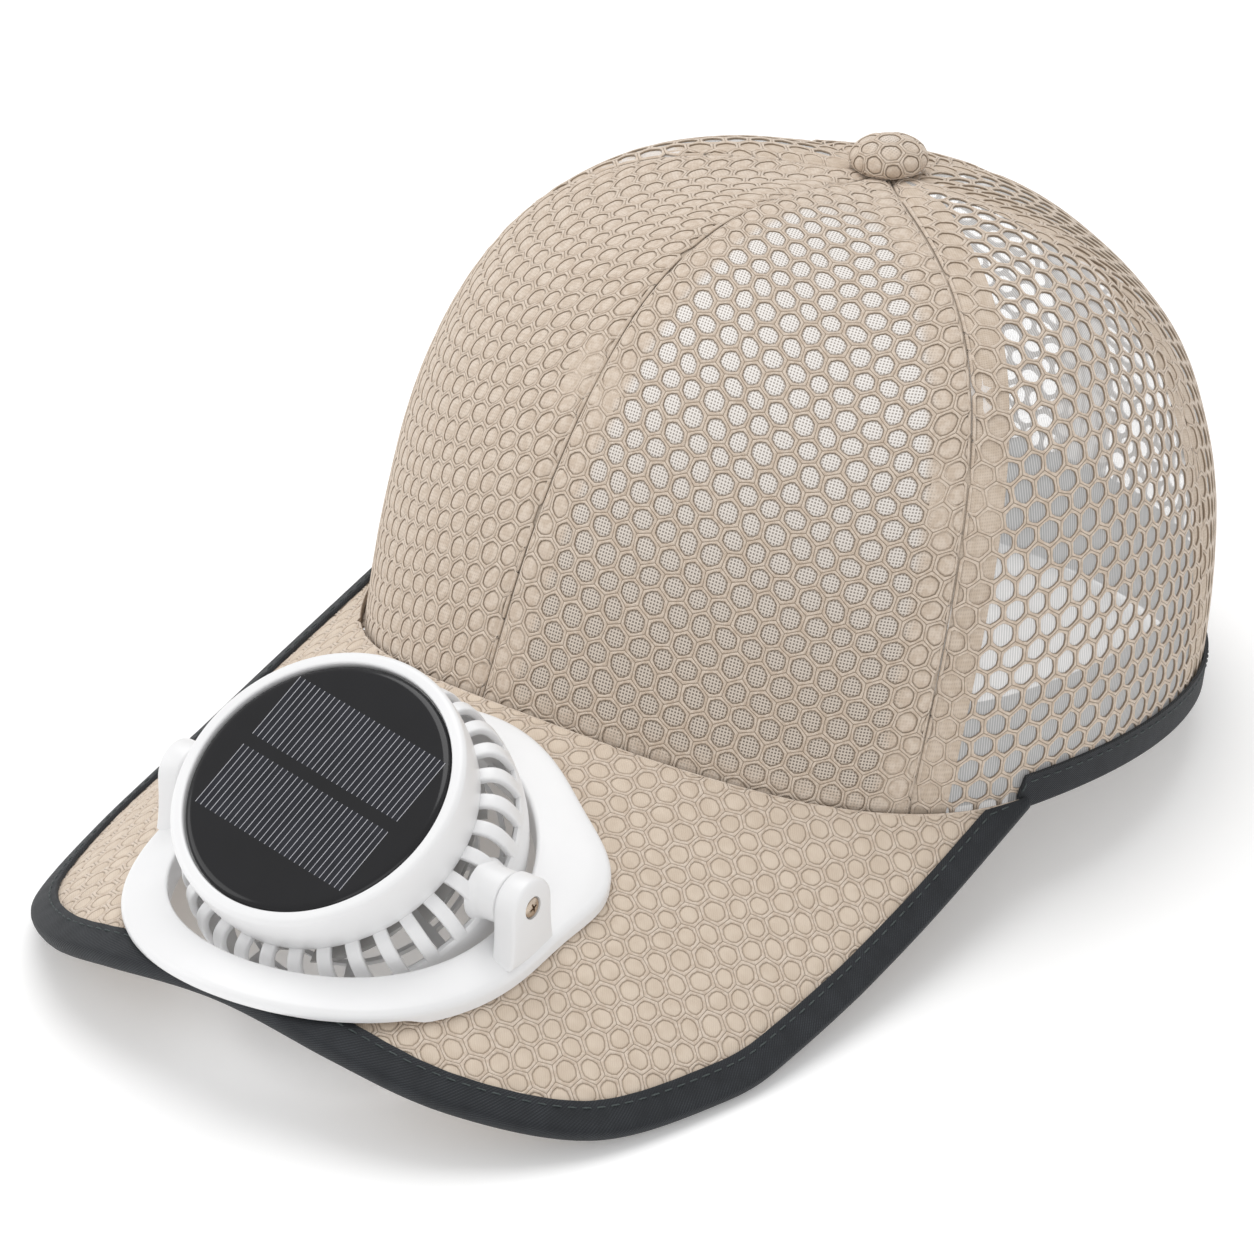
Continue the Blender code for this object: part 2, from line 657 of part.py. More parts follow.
def build_plate():
    """Flange that follows the visor, its collar through the visor, and two ears for the pivot."""
    segments = 52
    top = PLATE_OFFSET + PLATE_THICKNESS
    foot = -VISOR_THICKNESS / 2 - COLLAR_DROP
    round_off = 0.0009
    sections = []
    for segment in range(segments):
        angle = 2 * pi * segment / segments - pi
        edge = plate_edge(angle)
        outside = PLATE_OPENING + COLLAR_WALL
        slope = 1.0 / max(visor_normal(edge * sin(angle), FAN_Y - edge * cos(angle)).z, 0.5)
        rest = PLATE_OFFSET if over_binding(angle, edge) else VISOR_THICKNESS / 2 + GAP
        low = rest * slope
        high = PLATE_OFFSET * slope + PLATE_THICKNESS
        middle = PLATE_OPENING + (edge - PLATE_OPENING) * 0.5
        section = [plate_point(angle, PLATE_OPENING, top - round_off)]
        section += [plate_point(angle, PLATE_OPENING + round_off, top)]
        section += [plate_point(angle, middle, high), plate_point(angle, edge - 2 * round_off, high)]
        section += [plate_point(angle, edge, high - round_off), plate_point(angle, edge - round_off * 0.4, low)]
        section += [plate_point(angle, outside, low), plate_point(angle, outside, foot)]
        section += [plate_point(angle, PLATE_OPENING, foot)]
        sections.append(section)
    plate = bpy.data.objects.new("fan_plate", loft("fan_plate", sections, True))
    link(plate, "white_plastic")

    ears = bpy.data.collections.new("ear_shapes")
    CUTTERS.children.link(ears)
    for side, name in ((1.0, "ear_left"), (-1.0, "ear_right")):
        faces = [ear_section(side * (EAR_OUTER - EAR_THICKNESS)), ear_section(side * EAR_OUTER)]
        ear = tool(name, loft(name, faces, False), Matrix.Identity(4))
        CUTTERS.objects.unlink(ear)
        ears.objects.link(ear)
    boolean(plate, "UNION", ears)
    bore = cylinder_mesh("ear_bore", SCREW_SHAFT_RADIUS + PIN_GAP, 0.12, 16)
    boolean(plate, "DIFFERENCE", tool("ear_bore", bore, Matrix.Translation(PIVOT) @ ACROSS))
    for side in (-1.0, 1.0):
        seat = cylinder_mesh("screw_seat", SCREW_HEAD_RADIUS + PIN_GAP, SCREW_HEAD_HEIGHT * 2, 24)
        place = Matrix.Translation(PIVOT + Vector((side * EAR_OUTER, 0.0, 0.0))) @ ACROSS
        boolean(plate, "DIFFERENCE", tool("screw_seat", seat, place))
    shade(plate, 35.0)


def build_screws():
    """Cross-head screws through the ears into the head's bosses."""
    seat = EAR_OUTER - SCREW_HEAD_HEIGHT + GAP
    shaft_end = EAR_OUTER - EAR_THICKNESS - SCREW_REACH
    length = seat - shaft_end
    dome = arc_points((0.0, 0.0), 1.0, pi / 2, 0.0, 4)
    profile = [(SCREW_HEAD_RADIUS * x, SCREW_HEAD_HEIGHT * 0.5 * (1 + y)) for x, y in dome]
    profile[0] = (0.0, profile[0][1])
    profile += [(SCREW_HEAD_RADIUS, 0.0), (SCREW_SHAFT_RADIUS, 0.0)]
    profile += [(SCREW_SHAFT_RADIUS, -length + SCREW_SHAFT_RADIUS * 0.5), (SCREW_SHAFT_RADIUS * 0.5, -length)]
    profile += [(0.0, -length)]
    mesh = turned_mesh("pivot_screw", profile, 12)
    for side, name in ((1.0, "pivot_screw_left"), (-1.0, "pivot_screw_right")):
        turn = Matrix.Rotation(side * pi / 2, 4, "Y")
        place = Matrix.Translation(PIVOT + Vector((side * seat, 0.0, 0.0))) @ turn
        screw = bpy.data.objects.new(name, mesh.copy())
        screw.matrix_world = place
        link(screw, "screw_steel")
        for number, angle in enumerate((0.0, pi / 2)):
            slot = extruded_mesh("slot", [(-0.0011, -0.00028), (0.0011, -0.00028), (0.0011, 0.00028),
                                          (-0.0011, 0.00028)], 0.002)
            depth = Matrix.Translation((0.0, 0.0, SCREW_HEAD_HEIGHT - SCREW_RECESS))
            boolean(screw, "DIFFERENCE", tool(f"{name}_slot_{number}", slot,
                                              place @ Matrix.Rotation(angle, 4, "Z") @ depth))
        shade(screw, 50.0)


# Fan head

HEAD_RADIUS = PLATE_OPENING - HEAD_CLEARANCE


def head_empty():
    """The head turns about its pivot, so its pieces hang on an empty there."""
    empty = bpy.data.objects.new("fan_head_pivot", None)
    PARTS.objects.link(empty)
    empty.location = PIVOT
    empty.rotation_euler = (HEAD_TILT, 0.0, 0.0)
    return empty


def slat_outline():
    """Side view of one slat, as (radius, height): out from the drum, over the shoulder and down."""
    shoulder = HEAD_RADIUS - 0.0001
    drum_side = DRUM_FOOT_RADIUS - DRUM_WALL * 0.5
    top = DRUM_FOOT + 0.0006
    foot = LOWER_RING_TOP - 0.0006
    drop = SLAT_THICKNESS
    outer = [(drum_side, top), (shoulder - 0.0022, top - 0.0006), (shoulder, top - 0.0042), (shoulder, foot)]
    inner = [(shoulder - drop, foot), (shoulder - drop - 0.0004, top - 0.0038), (drum_side, top - drop)]
    return outer + inner


def build_housing(head):
    """Drum, slats, lower ring, guard and pivot bosses, joined into one moulding."""
    recess = DRUM_TOP - SOLAR_THICKNESS - GAP
    under = recess - DRUM_WALL
    inside = SOLAR_RADIUS + GAP
    profile = [(0.0, recess), (inside, recess), (inside, DRUM_TOP)]
    profile += [(DRUM_RADIUS - 0.0009, DRUM_TOP - 0.0002), (DRUM_RADIUS, DRUM_TOP - 0.0016)]
    profile += [(DRUM_FOOT_RADIUS, DRUM_FOOT)]
    profile += [(DRUM_FOOT_RADIUS - DRUM_WALL, DRUM_FOOT), (DRUM_RADIUS - DRUM_WALL * 1.6, under)]
    profile += [(MOTOR_RADIUS, under), (MOTOR_RADIUS, MOTOR_FOOT), (SHAFT_RADIUS, MOTOR_FOOT)]
    profile += [(SHAFT_RADIUS, HUB_FOOT), (0.0, HUB_FOOT)]
    housing = bpy.data.objects.new("fan_housing", turned_mesh("fan_housing", profile, HOUSING_SEGMENTS))
    link(housing, "white_plastic")

    pieces = bpy.data.collections.new("housing_shapes")
    CUTTERS.children.link(pieces)

    def add(name, mesh, matrix):
        piece = tool(name, mesh, head_matrix @ matrix)
        CUTTERS.objects.unlink(piece)
        pieces.objects.link(piece)

    head_matrix = Matrix.Translation(PIVOT) @ Matrix.Rotation(HEAD_TILT, 4, "X")
    ring_in = HEAD_RADIUS - LOWER_RING_WALL
    upper = asin(LOWER_RING_TOP / HEAD_RADIUS)
    lower = asin(LOWER_RING_FOOT / HEAD_RADIUS)
    ring = arc_points((0.0, 0.0), HEAD_RADIUS, upper, lower, 4)
    ring += arc_points((0.0, 0.0), ring_in, lower, upper, 4)
    add("lower_ring", turned_mesh("lower_ring", ring, HOUSING_SEGMENTS), Matrix.Identity(4))
    slat = extruded_mesh("slat", slat_outline(), SLAT_WIDTH)
    stand = Matrix(((1, 0, 0, 0), (0, 0, -1, SLAT_WIDTH / 2), (0, 1, 0, 0), (0, 0, 0, 1)))
    for number in range(SLAT_COUNT):
        angle = 2 * pi * (number + 0.5) / SLAT_COUNT
        add(f"slat_{number:02d}", slat, Matrix.Rotation(angle, 4, "Z") @ stand)
    boss_end = EAR_OUTER - EAR_THICKNESS - GAP
    boss_start = ring_in + 0.0004
    for side in (-1.0, 1.0):
        middle = side * (boss_start + boss_end) / 2
        boss = cylinder_mesh("boss", BOSS_RADIUS, boss_end - boss_start, 24)
        add("boss", boss, Matrix.Translation((middle, 0.0, 0.0)) @ ACROSS)
    guard_foot = ring_in * sin(lower)
    guard_z = guard_foot + GUARD_THICKNESS / 2
    add("guard_hub", cylinder_mesh("guard_hub", GUARD_HUB_RADIUS, GUARD_THICKNESS, 24),
        Matrix.Translation((0.0, 0.0, guard_z)))
    start = GUARD_HUB_RADIUS - 0.001
    reach = ring_in * cos(lower) + 0.0004
    spoke = extruded_mesh("spoke", [(start, -0.001), (reach, -0.001), (reach, 0.001), (start, 0.001)],
                          GUARD_THICKNESS)
    for number in range(GUARD_SPOKES):
        turn = Matrix.Rotation(2 * pi * (number + 0.5) / GUARD_SPOKES, 4, "Z")
        add(f"spoke_{number}", spoke, turn @ Matrix.Translation((0.0, 0.0, guard_foot)))
    housing.parent = head
    boolean(housing, "UNION", pieces)
    hole_length = SCREW_REACH + 2 * GAP
    for side in (-1.0, 1.0):
        middle = side * (boss_end - hole_length / 2 + 0.0005)
        hole = cylinder_mesh("boss_hole", SCREW_SHAFT_RADIUS + PIN_GAP, hole_length + 0.001, 16)
        place = head_matrix @ Matrix.Translation((middle, 0.0, 0.0)) @ ACROSS
        boolean(housing, "DIFFERENCE", tool("boss_hole", hole, place))
    shade(housing, 35.0)


def build_solar_panel(head):
    """Glossy disc in the drum's recess, with a rounded edge."""
    foot = DRUM_TOP - SOLAR_THICKNESS
    top = DRUM_TOP - GAP
    profile = [(0.0, top), (SOLAR_RADIUS - 0.0010, top), (SOLAR_RADIUS - 0.0003, top - 0.0002)]
    profile += [(SOLAR_RADIUS, top - 0.0007), (SOLAR_RADIUS, foot), (0.0, foot)]
    panel = bpy.data.objects.new("solar_panel", turned_mesh("solar_panel", profile, 40))
    link(panel, "solar_glass")
    panel.parent = head
    shade(panel)


def build_impeller(head):
    """Hub on the motor's shaft with broad pitched blades."""
    bore = SHAFT_RADIUS + PIN_GAP
    spin = bpy.data.objects.new("impeller_axis", None)
    PARTS.objects.link(spin)
    spin.parent = head
    profile = [(bore, HUB_TOP), (HUB_RADIUS, HUB_TOP), (HUB_RADIUS, HUB_FOOT), (bore, HUB_FOOT)]
    impeller = bpy.data.objects.new("impeller", turned_mesh("impeller", profile, 24))
    link(impeller, "impeller_plastic")
    impeller.parent = spin
    head_matrix = Matrix.Translation(PIVOT) @ Matrix.Rotation(HEAD_TILT, 4, "X")
    blades = bpy.data.collections.new("blade_shapes")
    CUTTERS.children.link(blades)
    middle = (HUB_TOP + HUB_FOOT) / 2
    rings = 3
    across = 3
    sections = []
    for i in range(rings + 1):
        radius = HUB_RADIUS * 0.88 + (BLADE_TIP - HUB_RADIUS * 0.88) * i / rings
        chord = BLADE_CHORD * (1.0 + 0.12 * i / rings)
        upper = []
        lower = []
        for j in range(across + 1):
            share = j / across - 0.5
            angle = chord * share
            height = middle + BLADE_RISE * share * (1.0 - 0.35 * i / rings)
            upper.append(Vector((radius * cos(angle), radius * sin(angle), height + BLADE_THICKNESS / 2)))
            lower.append(Vector((radius * cos(angle), radius * sin(angle), height - BLADE_THICKNESS / 2)))
        sections.append(upper + lower[::-1])
    blade = loft("blade", sections, False)
    for number in range(BLADE_COUNT):
        piece = tool(f"blade_{number}", blade, head_matrix @ Matrix.Rotation(2 * pi * number / BLADE_COUNT, 4, "Z"))
        CUTTERS.objects.unlink(piece)
        blades.objects.link(piece)
    boolean(impeller, "UNION", blades)
    shade(impeller)


def build_cap():
    build_panels()
    build_button()
    build_sweatband()
    build_visor()
    build_visor_binding()
    build_rim_binding()
    build_plate()
    build_screws()
    head = head_empty()
    build_housing(head)
    build_solar_panel(head)
    build_impeller(head)


clear_scene()
PARTS = bpy.data.collections.new("solar_cap")
CUTTERS = bpy.data.collections.new("cutters")
bpy.context.scene.collection.children.link(PARTS)
bpy.context.scene.collection.children.link(CUTTERS)
MATERIALS = {name: make_material(name) for name in COLOURS}
build_cap()
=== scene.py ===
"""Solar cap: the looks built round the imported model.

Metres, +Z up, in the part's own frame. The cap's surfaces repeat the part's formulas, so that each
detailed piece lies where its solid does.
"""
from math import asin, cos, pi, radians, sin

import bmesh
import bpy
import numpy as np
from mathutils import Matrix, Vector


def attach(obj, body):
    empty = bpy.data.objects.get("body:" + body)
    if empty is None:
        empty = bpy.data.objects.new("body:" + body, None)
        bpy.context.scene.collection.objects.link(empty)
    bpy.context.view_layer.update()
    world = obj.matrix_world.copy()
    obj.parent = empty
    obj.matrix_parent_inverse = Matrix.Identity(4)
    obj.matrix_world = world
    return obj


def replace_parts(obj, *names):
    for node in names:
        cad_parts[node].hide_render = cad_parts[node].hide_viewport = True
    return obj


MM = 0.001

# Crown
CROWN_HALF_WIDTH = 0.0864
CROWN_HALF_LENGTH = 0.0903
CROWN_HEIGHT = 0.1131
CROWN_WALL = 0.0016
APEX_SETBACK = 0.0355
APEX_SLOPE = 0.087
APEX_HOLE = 0.0032
CROWN_TURN = radians(-7.3)
JOIN_ANGLE = radians(70.0)
PROFILE = {
    "front": {"rise": 0.1078, "lean": -0.479, "top_reach": 0.0326},
    "side": {"rise": 0.1163, "lean": 0.040, "top_reach": 0.0204},
    "rear": {"rise": 0.0512, "lean": 0.360, "top_reach": 0.0521},
}
SEAMS = [
    {"angle": radians(-180.0), "bow": 0.0},
    {"angle": radians(-120.0), "bow": radians(-6.0)},
    {"angle": radians(-60.9), "bow": radians(-13.4)},
    {"angle": 0.0, "bow": radians(-2.8)},
    {"angle": radians(60.9), "bow": radians(13.4)},
    {"angle": radians(120.0), "bow": radians(6.0)},
    {"angle": radians(180.0), "bow": 0.0},
]

# Visor
VISOR_INSET = 0.0034
VISOR_HALF_WIDTH = CROWN_HALF_WIDTH - VISOR_INSET
VISOR_REACH = 0.0940
VISOR_THICKNESS = 0.0024
VISOR_ARCH = 0.0340
VISOR_ARCH_GROWTH = 2.04
VISOR_FLATNESS = 0.17
VISOR_FALL_MIDDLE = 0.0085
VISOR_FALL_TIP = 0.0175
VISOR_SIDE_RISE = 0.1673
VISOR_OUTLINE = [
    (0.0, 1.0), (0.331, 0.994), (0.598, 0.946), (0.829, 0.825),
    (0.952, 0.641), (0.986, 0.503), (0.999, 0.257), (0.990, 0.0),
]

# Trim
SWEATBAND_HEIGHT = 0.0240
SWEATBAND_START = 0.0010
SWEATBAND_RADIUS = 0.089        # this and the rim's are rough, for their weaves alone
RIM_RADIUS = 0.090
BINDING_THICKNESS = 0.0007
BINDING_WIDTH_FRONT = 0.0074
BINDING_WIDTH_SIDE = 0.0044
BINDING_WIDTH_RIM = 0.0068
BUTTON_RADIUS = 0.0083
BUTTON_DOME = 0.0046
BUTTON_SKIRT = 0.0016

# Fan
FAN_SETBACK = 0.0528
PLATE_RADIUS = 0.0450
PLATE_OPENING = 0.0358
PLATE_THICKNESS = 0.0024
PLATE_LOBE = 0.0056
PLATE_LOBE_ANGLE = radians(120.0)
PLATE_LOBE_SPREAD = radians(15.0)
COLLAR_WALL = 0.0015
COLLAR_DROP = 0.0010
EAR_OUTER = 0.0445
EAR_THICKNESS = 0.0052
EAR_RADIUS = 0.0059
EAR_BASE = 0.0126
PIVOT_HEIGHT = 0.0011
HEAD_TILT = radians(32.5)
HEAD_RADIUS = 0.0345
DRUM_RADIUS = 0.0304
DRUM_FOOT_RADIUS = 0.0293
DRUM_TOP = 0.0190
DRUM_FOOT = 0.0070
DRUM_WALL = 0.0016
SLAT_COUNT = 32
SLAT_WIDTH = 0.0029
SLAT_THICKNESS = 0.0017
# Middle line of a slat: radius and height in millimetres
SLAT_PATH = [
    (28.0, 6.7), (29.6, 6.6), (31.2, 6.1), (32.3, 5.1),
    (33.0, 3.7), (33.4, 2.0), (33.6, 0.0), (33.6, -2.4),
]
LOWER_RING_TOP = -0.0015
LOWER_RING_FOOT = -0.0135
LOWER_RING_WALL = 0.0017
BOSS_RADIUS = 0.0053
SOLAR_RADIUS = 0.0273
SOLAR_THICKNESS = 0.0018
HUB_RADIUS = 0.0085
HUB_TOP = 0.0060
HUB_FOOT = -0.0026
BLADE_COUNT = 7
BLADE_TIP = 0.0280
BLADE_CHORD = radians(40.0)
BLADE_RISE = 0.0062
SCREW_HEAD_RADIUS = 0.0021
GAP = 0.0003

# Two rows of solar cells, turned on the disc
CELLS_TURN = radians(-8.4)
CELLS_MIDDLE_Y = 0.0010
CELL_ROW_WIDTH = 0.0400
CELL_ROW_DEPTH = 0.0147
CELL_ROW_GAP = 0.00265
CELL_LINES = 30
CELL_LINE_WIDTH = 0.15 * MM

# Honeycomb: pitch of its cells and width of the strands between them
CELL_PITCH = 0.0053
STRAND = 0.0010
CELL_SIDES = 12
# Section of the net from the middle of a strand to the cell's wall and back underneath:
# share of the way from the cell's edge to the strand's middle, and height from the cloth's face
# and relief, which sets the yarn's painted shade: 0 is darkest, in the groove
NET_SECTION = [
    {"share": 1.0, "height": -0.14 * MM, "relief": 0.0},
    {"share": 0.76, "height": 0.00 * MM, "relief": 0.8},
    {"share": 0.50, "height": 0.10 * MM, "relief": 1.0},
    {"share": 0.22, "height": 0.04 * MM, "relief": 0.9},
    {"share": 0.0, "height": -0.14 * MM, "relief": 0.0},
    {"share": 0.0, "height": -0.60 * MM, "relief": 0.1},
    {"share": 1.0, "height": -0.60 * MM, "relief": 0.3},
]
# The visor's net is flatter; its relief sets the same painted shade
VISOR_STRAND = 1.1 * MM
VISOR_SECTION = [
    {"share": 1.0, "height": -0.14 * MM, "relief": 0.0},
    {"share": 0.78, "height": 0.02 * MM, "relief": 0.9},
    {"share": 0.35, "height": 0.06 * MM, "relief": 1.0},
    {"share": 0.0, "height": -0.10 * MM, "relief": 0.6},
    {"share": 0.0, "height": -0.40 * MM, "relief": 0.0},
]
# Section of the cloth in a cell, from its edge to its middle
FILL_REACH = 1.02
FILL_SECTION = [
    {"share": FILL_REACH, "height": -0.30 * MM, "shade": 1.0},
    {"share": 0.93, "height": -0.20 * MM, "shade": 0.8},
    {"share": 0.80, "height": -0.11 * MM, "shade": 0.0},
    {"share": 0.45, "height": -0.06 * MM, "shade": 0.0},
]
FILL_MIDDLE = {"height": -0.05 * MM, "margin": 0.4 * MM}
EDGE_MARGIN = 0.12 * MM         # from a sheet's edge to the net's nearest point
WELD = 0.005 * MM               # points closer than this are one
TAPE_WIDTH = 0.0078             # of the cloth behind each seam, on each side
TAPE_LENGTH = 0.15              # roughly, for its weave alone
SEAM_FOLD = 0.0008              # depth of the fold at a seam
SEAM_FOLD_WIDTH = 0.0011

# How each panel is lined, how pale the lining is, and how far its cells are turned
PANELS = [
    {"name": "rear_panel_right", "lined": False, "pale": 0.0, "grain": 0.0},
    {"name": "side_panel_right", "lined": False, "pale": 0.0, "grain": 0.0},
    {"name": "front_panel_right", "lined": True, "pale": 0.12, "grain": radians(4.0)},
    {"name": "front_panel_left", "lined": True, "pale": 1.0, "grain": radians(-5.0)},
    {"name": "side_panel_left", "lined": False, "pale": 0.0, "grain": 0.0},
    {"name": "rear_panel_left", "lined": False, "pale": 0.0, "grain": 0.0},
]

# Camera, matched to the photograph
CAMERA_AZIMUTH = radians(37.0)
CAMERA_ELEVATION = radians(29.17)
CAMERA_LENS = 185.84
CAMERA_PLACE = (0.68882, -0.96857, 0.68350)     # from the middle of the crown's lower edge

# Studio: lamps as name, place, size and power
WORLD_STRENGTH = 0.62
FLOOR_SIZE = 8.0
FLOOR_GAP = 0.0003
LIGHTS = [
    ("key", (-0.35, 0.35, 1.85), 1.7, 17.0),
    ("fill", (0.9, -1.3, 0.8), 1.4, 4.0),
    ("side", (-1.5, -1.0, 0.8), 1.4, 6.0),
]

# Yarn colours
TAN = (0.600, 0.490, 0.390)
TAN_PALE = (0.700, 0.595, 0.495)
# TAN_DEEP is tan in painted shade: in the net's grooves and where the cloth dips under the strands; it also
# darkens the pin-holes, painted shade too, and the tape's weave
TAN_DEEP = (0.270, 0.205, 0.145)

# Plain materials: key, name, two colours, roughness, metallic, scale of the cloudiness, bump
PLAIN_MATERIALS = [
    ("thread", "stitch_thread", (0.040, 0.052, 0.052), (0.070, 0.085, 0.084), 0.7, 0.0, 2000.0, 0.00005),
    ("white", "white_moulding", (0.86, 0.86, 0.865), (0.84, 0.84, 0.845), 0.33, 0.0, 60.0, 0.000008),
    ("cell", "solar_cell", (0.006, 0.007, 0.012), (0.010, 0.011, 0.018), 0.18, 0.0, 200.0, 0.000002),
    ("line", "solar_line", (0.42, 0.42, 0.45), (0.50, 0.50, 0.53), 0.35, 0.3, 600.0, 0.000002),
    ("impeller", "impeller_moulding", (0.60, 0.585, 0.57), (0.67, 0.655, 0.64), 0.38, 0.0, 80.0, 0.00001),
    ("screw", "screw_plate", (0.46, 0.38, 0.31), (0.58, 0.49, 0.40), 0.26, 1.0, 900.0, 0.00001),
]


def smooth_step(t):
    t = np.clip(t, 0.0, 1.0)
    return t * t * (3.0 - 2.0 * t)


def through_rows(rows, t):
    """A smooth curve through rows of numbers, for an array t from 0 to 1."""
    rows = np.array(rows, float)
    position = np.clip(t, 0.0, 1.0) * (len(rows) - 1)
    i = np.minimum(position.astype(int), len(rows) - 2)
    share = (position - i)[:, None]
    a = rows[np.maximum(i - 1, 0)]
    b = rows[i]
    c = rows[i + 1]
    d = rows[np.minimum(i + 2, len(rows) - 1)]
    left = 1.0 - share
    slope_b = (c - a) / 2.0
    slope_c = (d - b) / 2.0
    return (b * (1 + 2 * share) * left ** 2 + slope_b * share * left ** 2
            + c * share ** 2 * (3 - 2 * share) - slope_c * share ** 2 * left)


def normalised(vectors):
    length = np.linalg.norm(vectors, axis=-1, keepdims=True)
    return vectors / np.maximum(length, 1e-12)


# Surfaces of the part

def profile_value(angle, key):
    toward = np.cos(angle)
    end = np.where(toward > 0.0, PROFILE["front"][key], PROFILE["rear"][key])
    return PROFILE["side"][key] + (end - PROFILE["side"][key]) * toward ** 2


def profile_point(angle, rise, edge_height):
    x = CROWN_HALF_WIDTH * np.sin(angle)
    y = -CROWN_HALF_LENGTH * np.cos(angle)
    foot = np.stack([x, y, edge_height], -1)
    apex = np.array([0.0, APEX_SETBACK, CROWN_HEIGHT])
    outward = normalised(np.stack([x, y - APEX_SETBACK, np.zeros_like(x)], -1))
    up = np.array([0.0, 0.0, 1.0])
    lean = up + profile_value(angle, "lean")[:, None] * outward
    low = foot + profile_value(angle, "rise")[:, None] * lean
    fall = APEX_SLOPE * outward[:, 1:2] * up
    high = apex + profile_value(angle, "top_reach")[:, None] * (outward - fall)
    rise = rise[:, None]
    left = 1.0 - rise
    return foot * left ** 3 + low * 3 * rise * left ** 2 + high * 3 * rise ** 2 * left + apex * rise ** 3


def crown_reach_to_rear():
    rise = np.linspace(0.0, 1.0, 41)
    return profile_point(np.full(41, pi), rise, np.zeros(41))[:, 1].max()


VISOR_TIP = CROWN_HALF_LENGTH + VISOR_REACH
BINDING_STANDOFF = GAP + BINDING_THICKNESS
PLATE_TIP = CROWN_HALF_LENGTH + FAN_SETBACK + PLATE_RADIUS
CROWN_Y = (max(VISOR_TIP + BINDING_STANDOFF, PLATE_TIP) - crown_reach_to_rear()) / 2.0
FAN_Y = CROWN_Y - CROWN_HALF_LENGTH - FAN_SETBACK
JOIN_Y = CROWN_Y - CROWN_HALF_LENGTH * cos(JOIN_ANGLE)


def visor_drop(x, y):
    forward = (CROWN_Y - CROWN_HALF_LENGTH) - y
    share = forward / VISOR_REACH
    fan_share = FAN_SETBACK / VISOR_REACH
    bend = (VISOR_FALL_TIP * fan_share - VISOR_FALL_MIDDLE) / (fan_share - fan_share ** 2)
    ahead = (VISOR_FALL_TIP - bend) * share + bend * share ** 2
    fall = np.where(forward < 0.0, VISOR_SIDE_RISE * forward, ahead)
    flat = VISOR_FLATNESS * smooth_step(forward / FAN_SETBACK)
    across = np.minimum(np.abs(x) / VISOR_HALF_WIDTH, 1.2)
    arch = VISOR_ARCH * (1.0 + VISOR_ARCH_GROWTH * forward)
    return fall + arch * ((1.0 - flat) * across ** 2 + flat * across ** 4)


def visor_normal(x, y):
    step = 0.0005
    slope_x = (visor_drop(x + step, y) - visor_drop(x - step, y)) / (2 * step)
    slope_y = (visor_drop(x, y + step) - visor_drop(x, y - step)) / (2 * step)
    return normalised(np.stack([slope_x, slope_y, np.ones_like(slope_x)], -1))


VISOR_ROWS = [(-across, forward) for across, forward in reversed(VISOR_OUTLINE)] + VISOR_OUTLINE[1:]


def visor_outline(t):
    """Plan points of the visor's outer edge, for t from 0 at the right join to 1 at the left."""
    point = through_rows(VISOR_ROWS, t)
    y = JOIN_Y + (CROWN_Y - VISOR_TIP - JOIN_Y) * point[:, 1]
    return np.stack([point[:, 0] * VISOR_HALF_WIDTH, y], -1)


def visor_inward(t):
    step = 0.002
    run = normalised(visor_outline(t + step) - visor_outline(t - step))
    return np.stack([-run[:, 1], run[:, 0]], -1)


BINDING_HALF = VISOR_THICKNESS / 2 + BINDING_STANDOFF
VISOR_HOLE = PLATE_OPENING + COLLAR_WALL + GAP


def visor_low_point():
    t = np.linspace(0.0, 1.0, 401)
    lowest = 0.0
    for outward, up in ((0.0, 1.0), (0.85, 0.6), (1.0, 0.0), (0.85, -0.6), (0.0, -1.0)):
        edge = visor_outline(t) - visor_inward(t) * BINDING_STANDOFF * outward
        rise = BINDING_HALF * up * visor_normal(edge[:, 0], edge[:, 1])[:, 2]
        lowest = min(lowest, (rise - visor_drop(edge[:, 0], edge[:, 1])).min())
    return lowest


SEAM_HEIGHT = -visor_low_point()


def visor_point(x, y, offset):
    base = np.stack([x, y, SEAM_HEIGHT - visor_drop(x, y)], -1)
    return base + visor_normal(x, y) * np.asarray(offset)[..., None]


def lower_edge_height(angle):
    turned = np.abs(angle)
    front = np.minimum(turned, JOIN_ANGLE)
    x = CROWN_HALF_WIDTH * np.sin(front)
    y = CROWN_Y - CROWN_HALF_LENGTH * np.cos(front)
    height = SEAM_HEIGHT - visor_drop(x, y) - VISOR_THICKNESS / 2
    left = np.clip((pi - turned) / (pi - JOIN_ANGLE), 0.0, 1.0)
    dipped = BINDING_STANDOFF + (height - BINDING_STANDOFF) * smooth_step(left)
    return np.where(turned <= JOIN_ANGLE, height, dipped)


def crown_face(angle, rise):
    angle = (angle + pi) % (2 * pi) - pi
    return profile_point(angle, rise, lower_edge_height(angle)) + np.array([0.0, CROWN_Y, 0.0])


def crown_point(angle, rise, offset):
    """Points at an offset outside the crown's face."""
    step = 0.004
    along = crown_face(angle, rise + step) - crown_face(angle, rise - step)
    across = crown_face(angle + step, rise) - crown_face(angle - step, rise)
    return crown_face(angle, rise) + normalised(np.cross(across, along)) * np.asarray(offset)[..., None]


def rise_for_length(angle, length):
    angle = (angle + pi) % (2 * pi) - pi
    return length / (3.0 * profile_value(angle, "rise") * np.hypot(1.0, profile_value(angle, "lean")))


def seam_angle(row, rise):
    i = min(int(row), len(SEAMS) - 2)
    share = row - i
    angle = SEAMS[i]["angle"] * (1 - share) + SEAMS[i + 1]["angle"] * share
    bow = SEAMS[i]["bow"] * (1 - share) + SEAMS[i + 1]["bow"] * share
    return angle + CROWN_TURN + bow * np.sin(pi * np.minimum(rise, 1.0))


# Objects

def new_object(name, mesh, material, body):
    piece = bpy.data.objects.new(name, mesh)
    bpy.context.scene.collection.objects.link(piece)
    mesh.materials.append(material)
    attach(piece, body)
    return piece


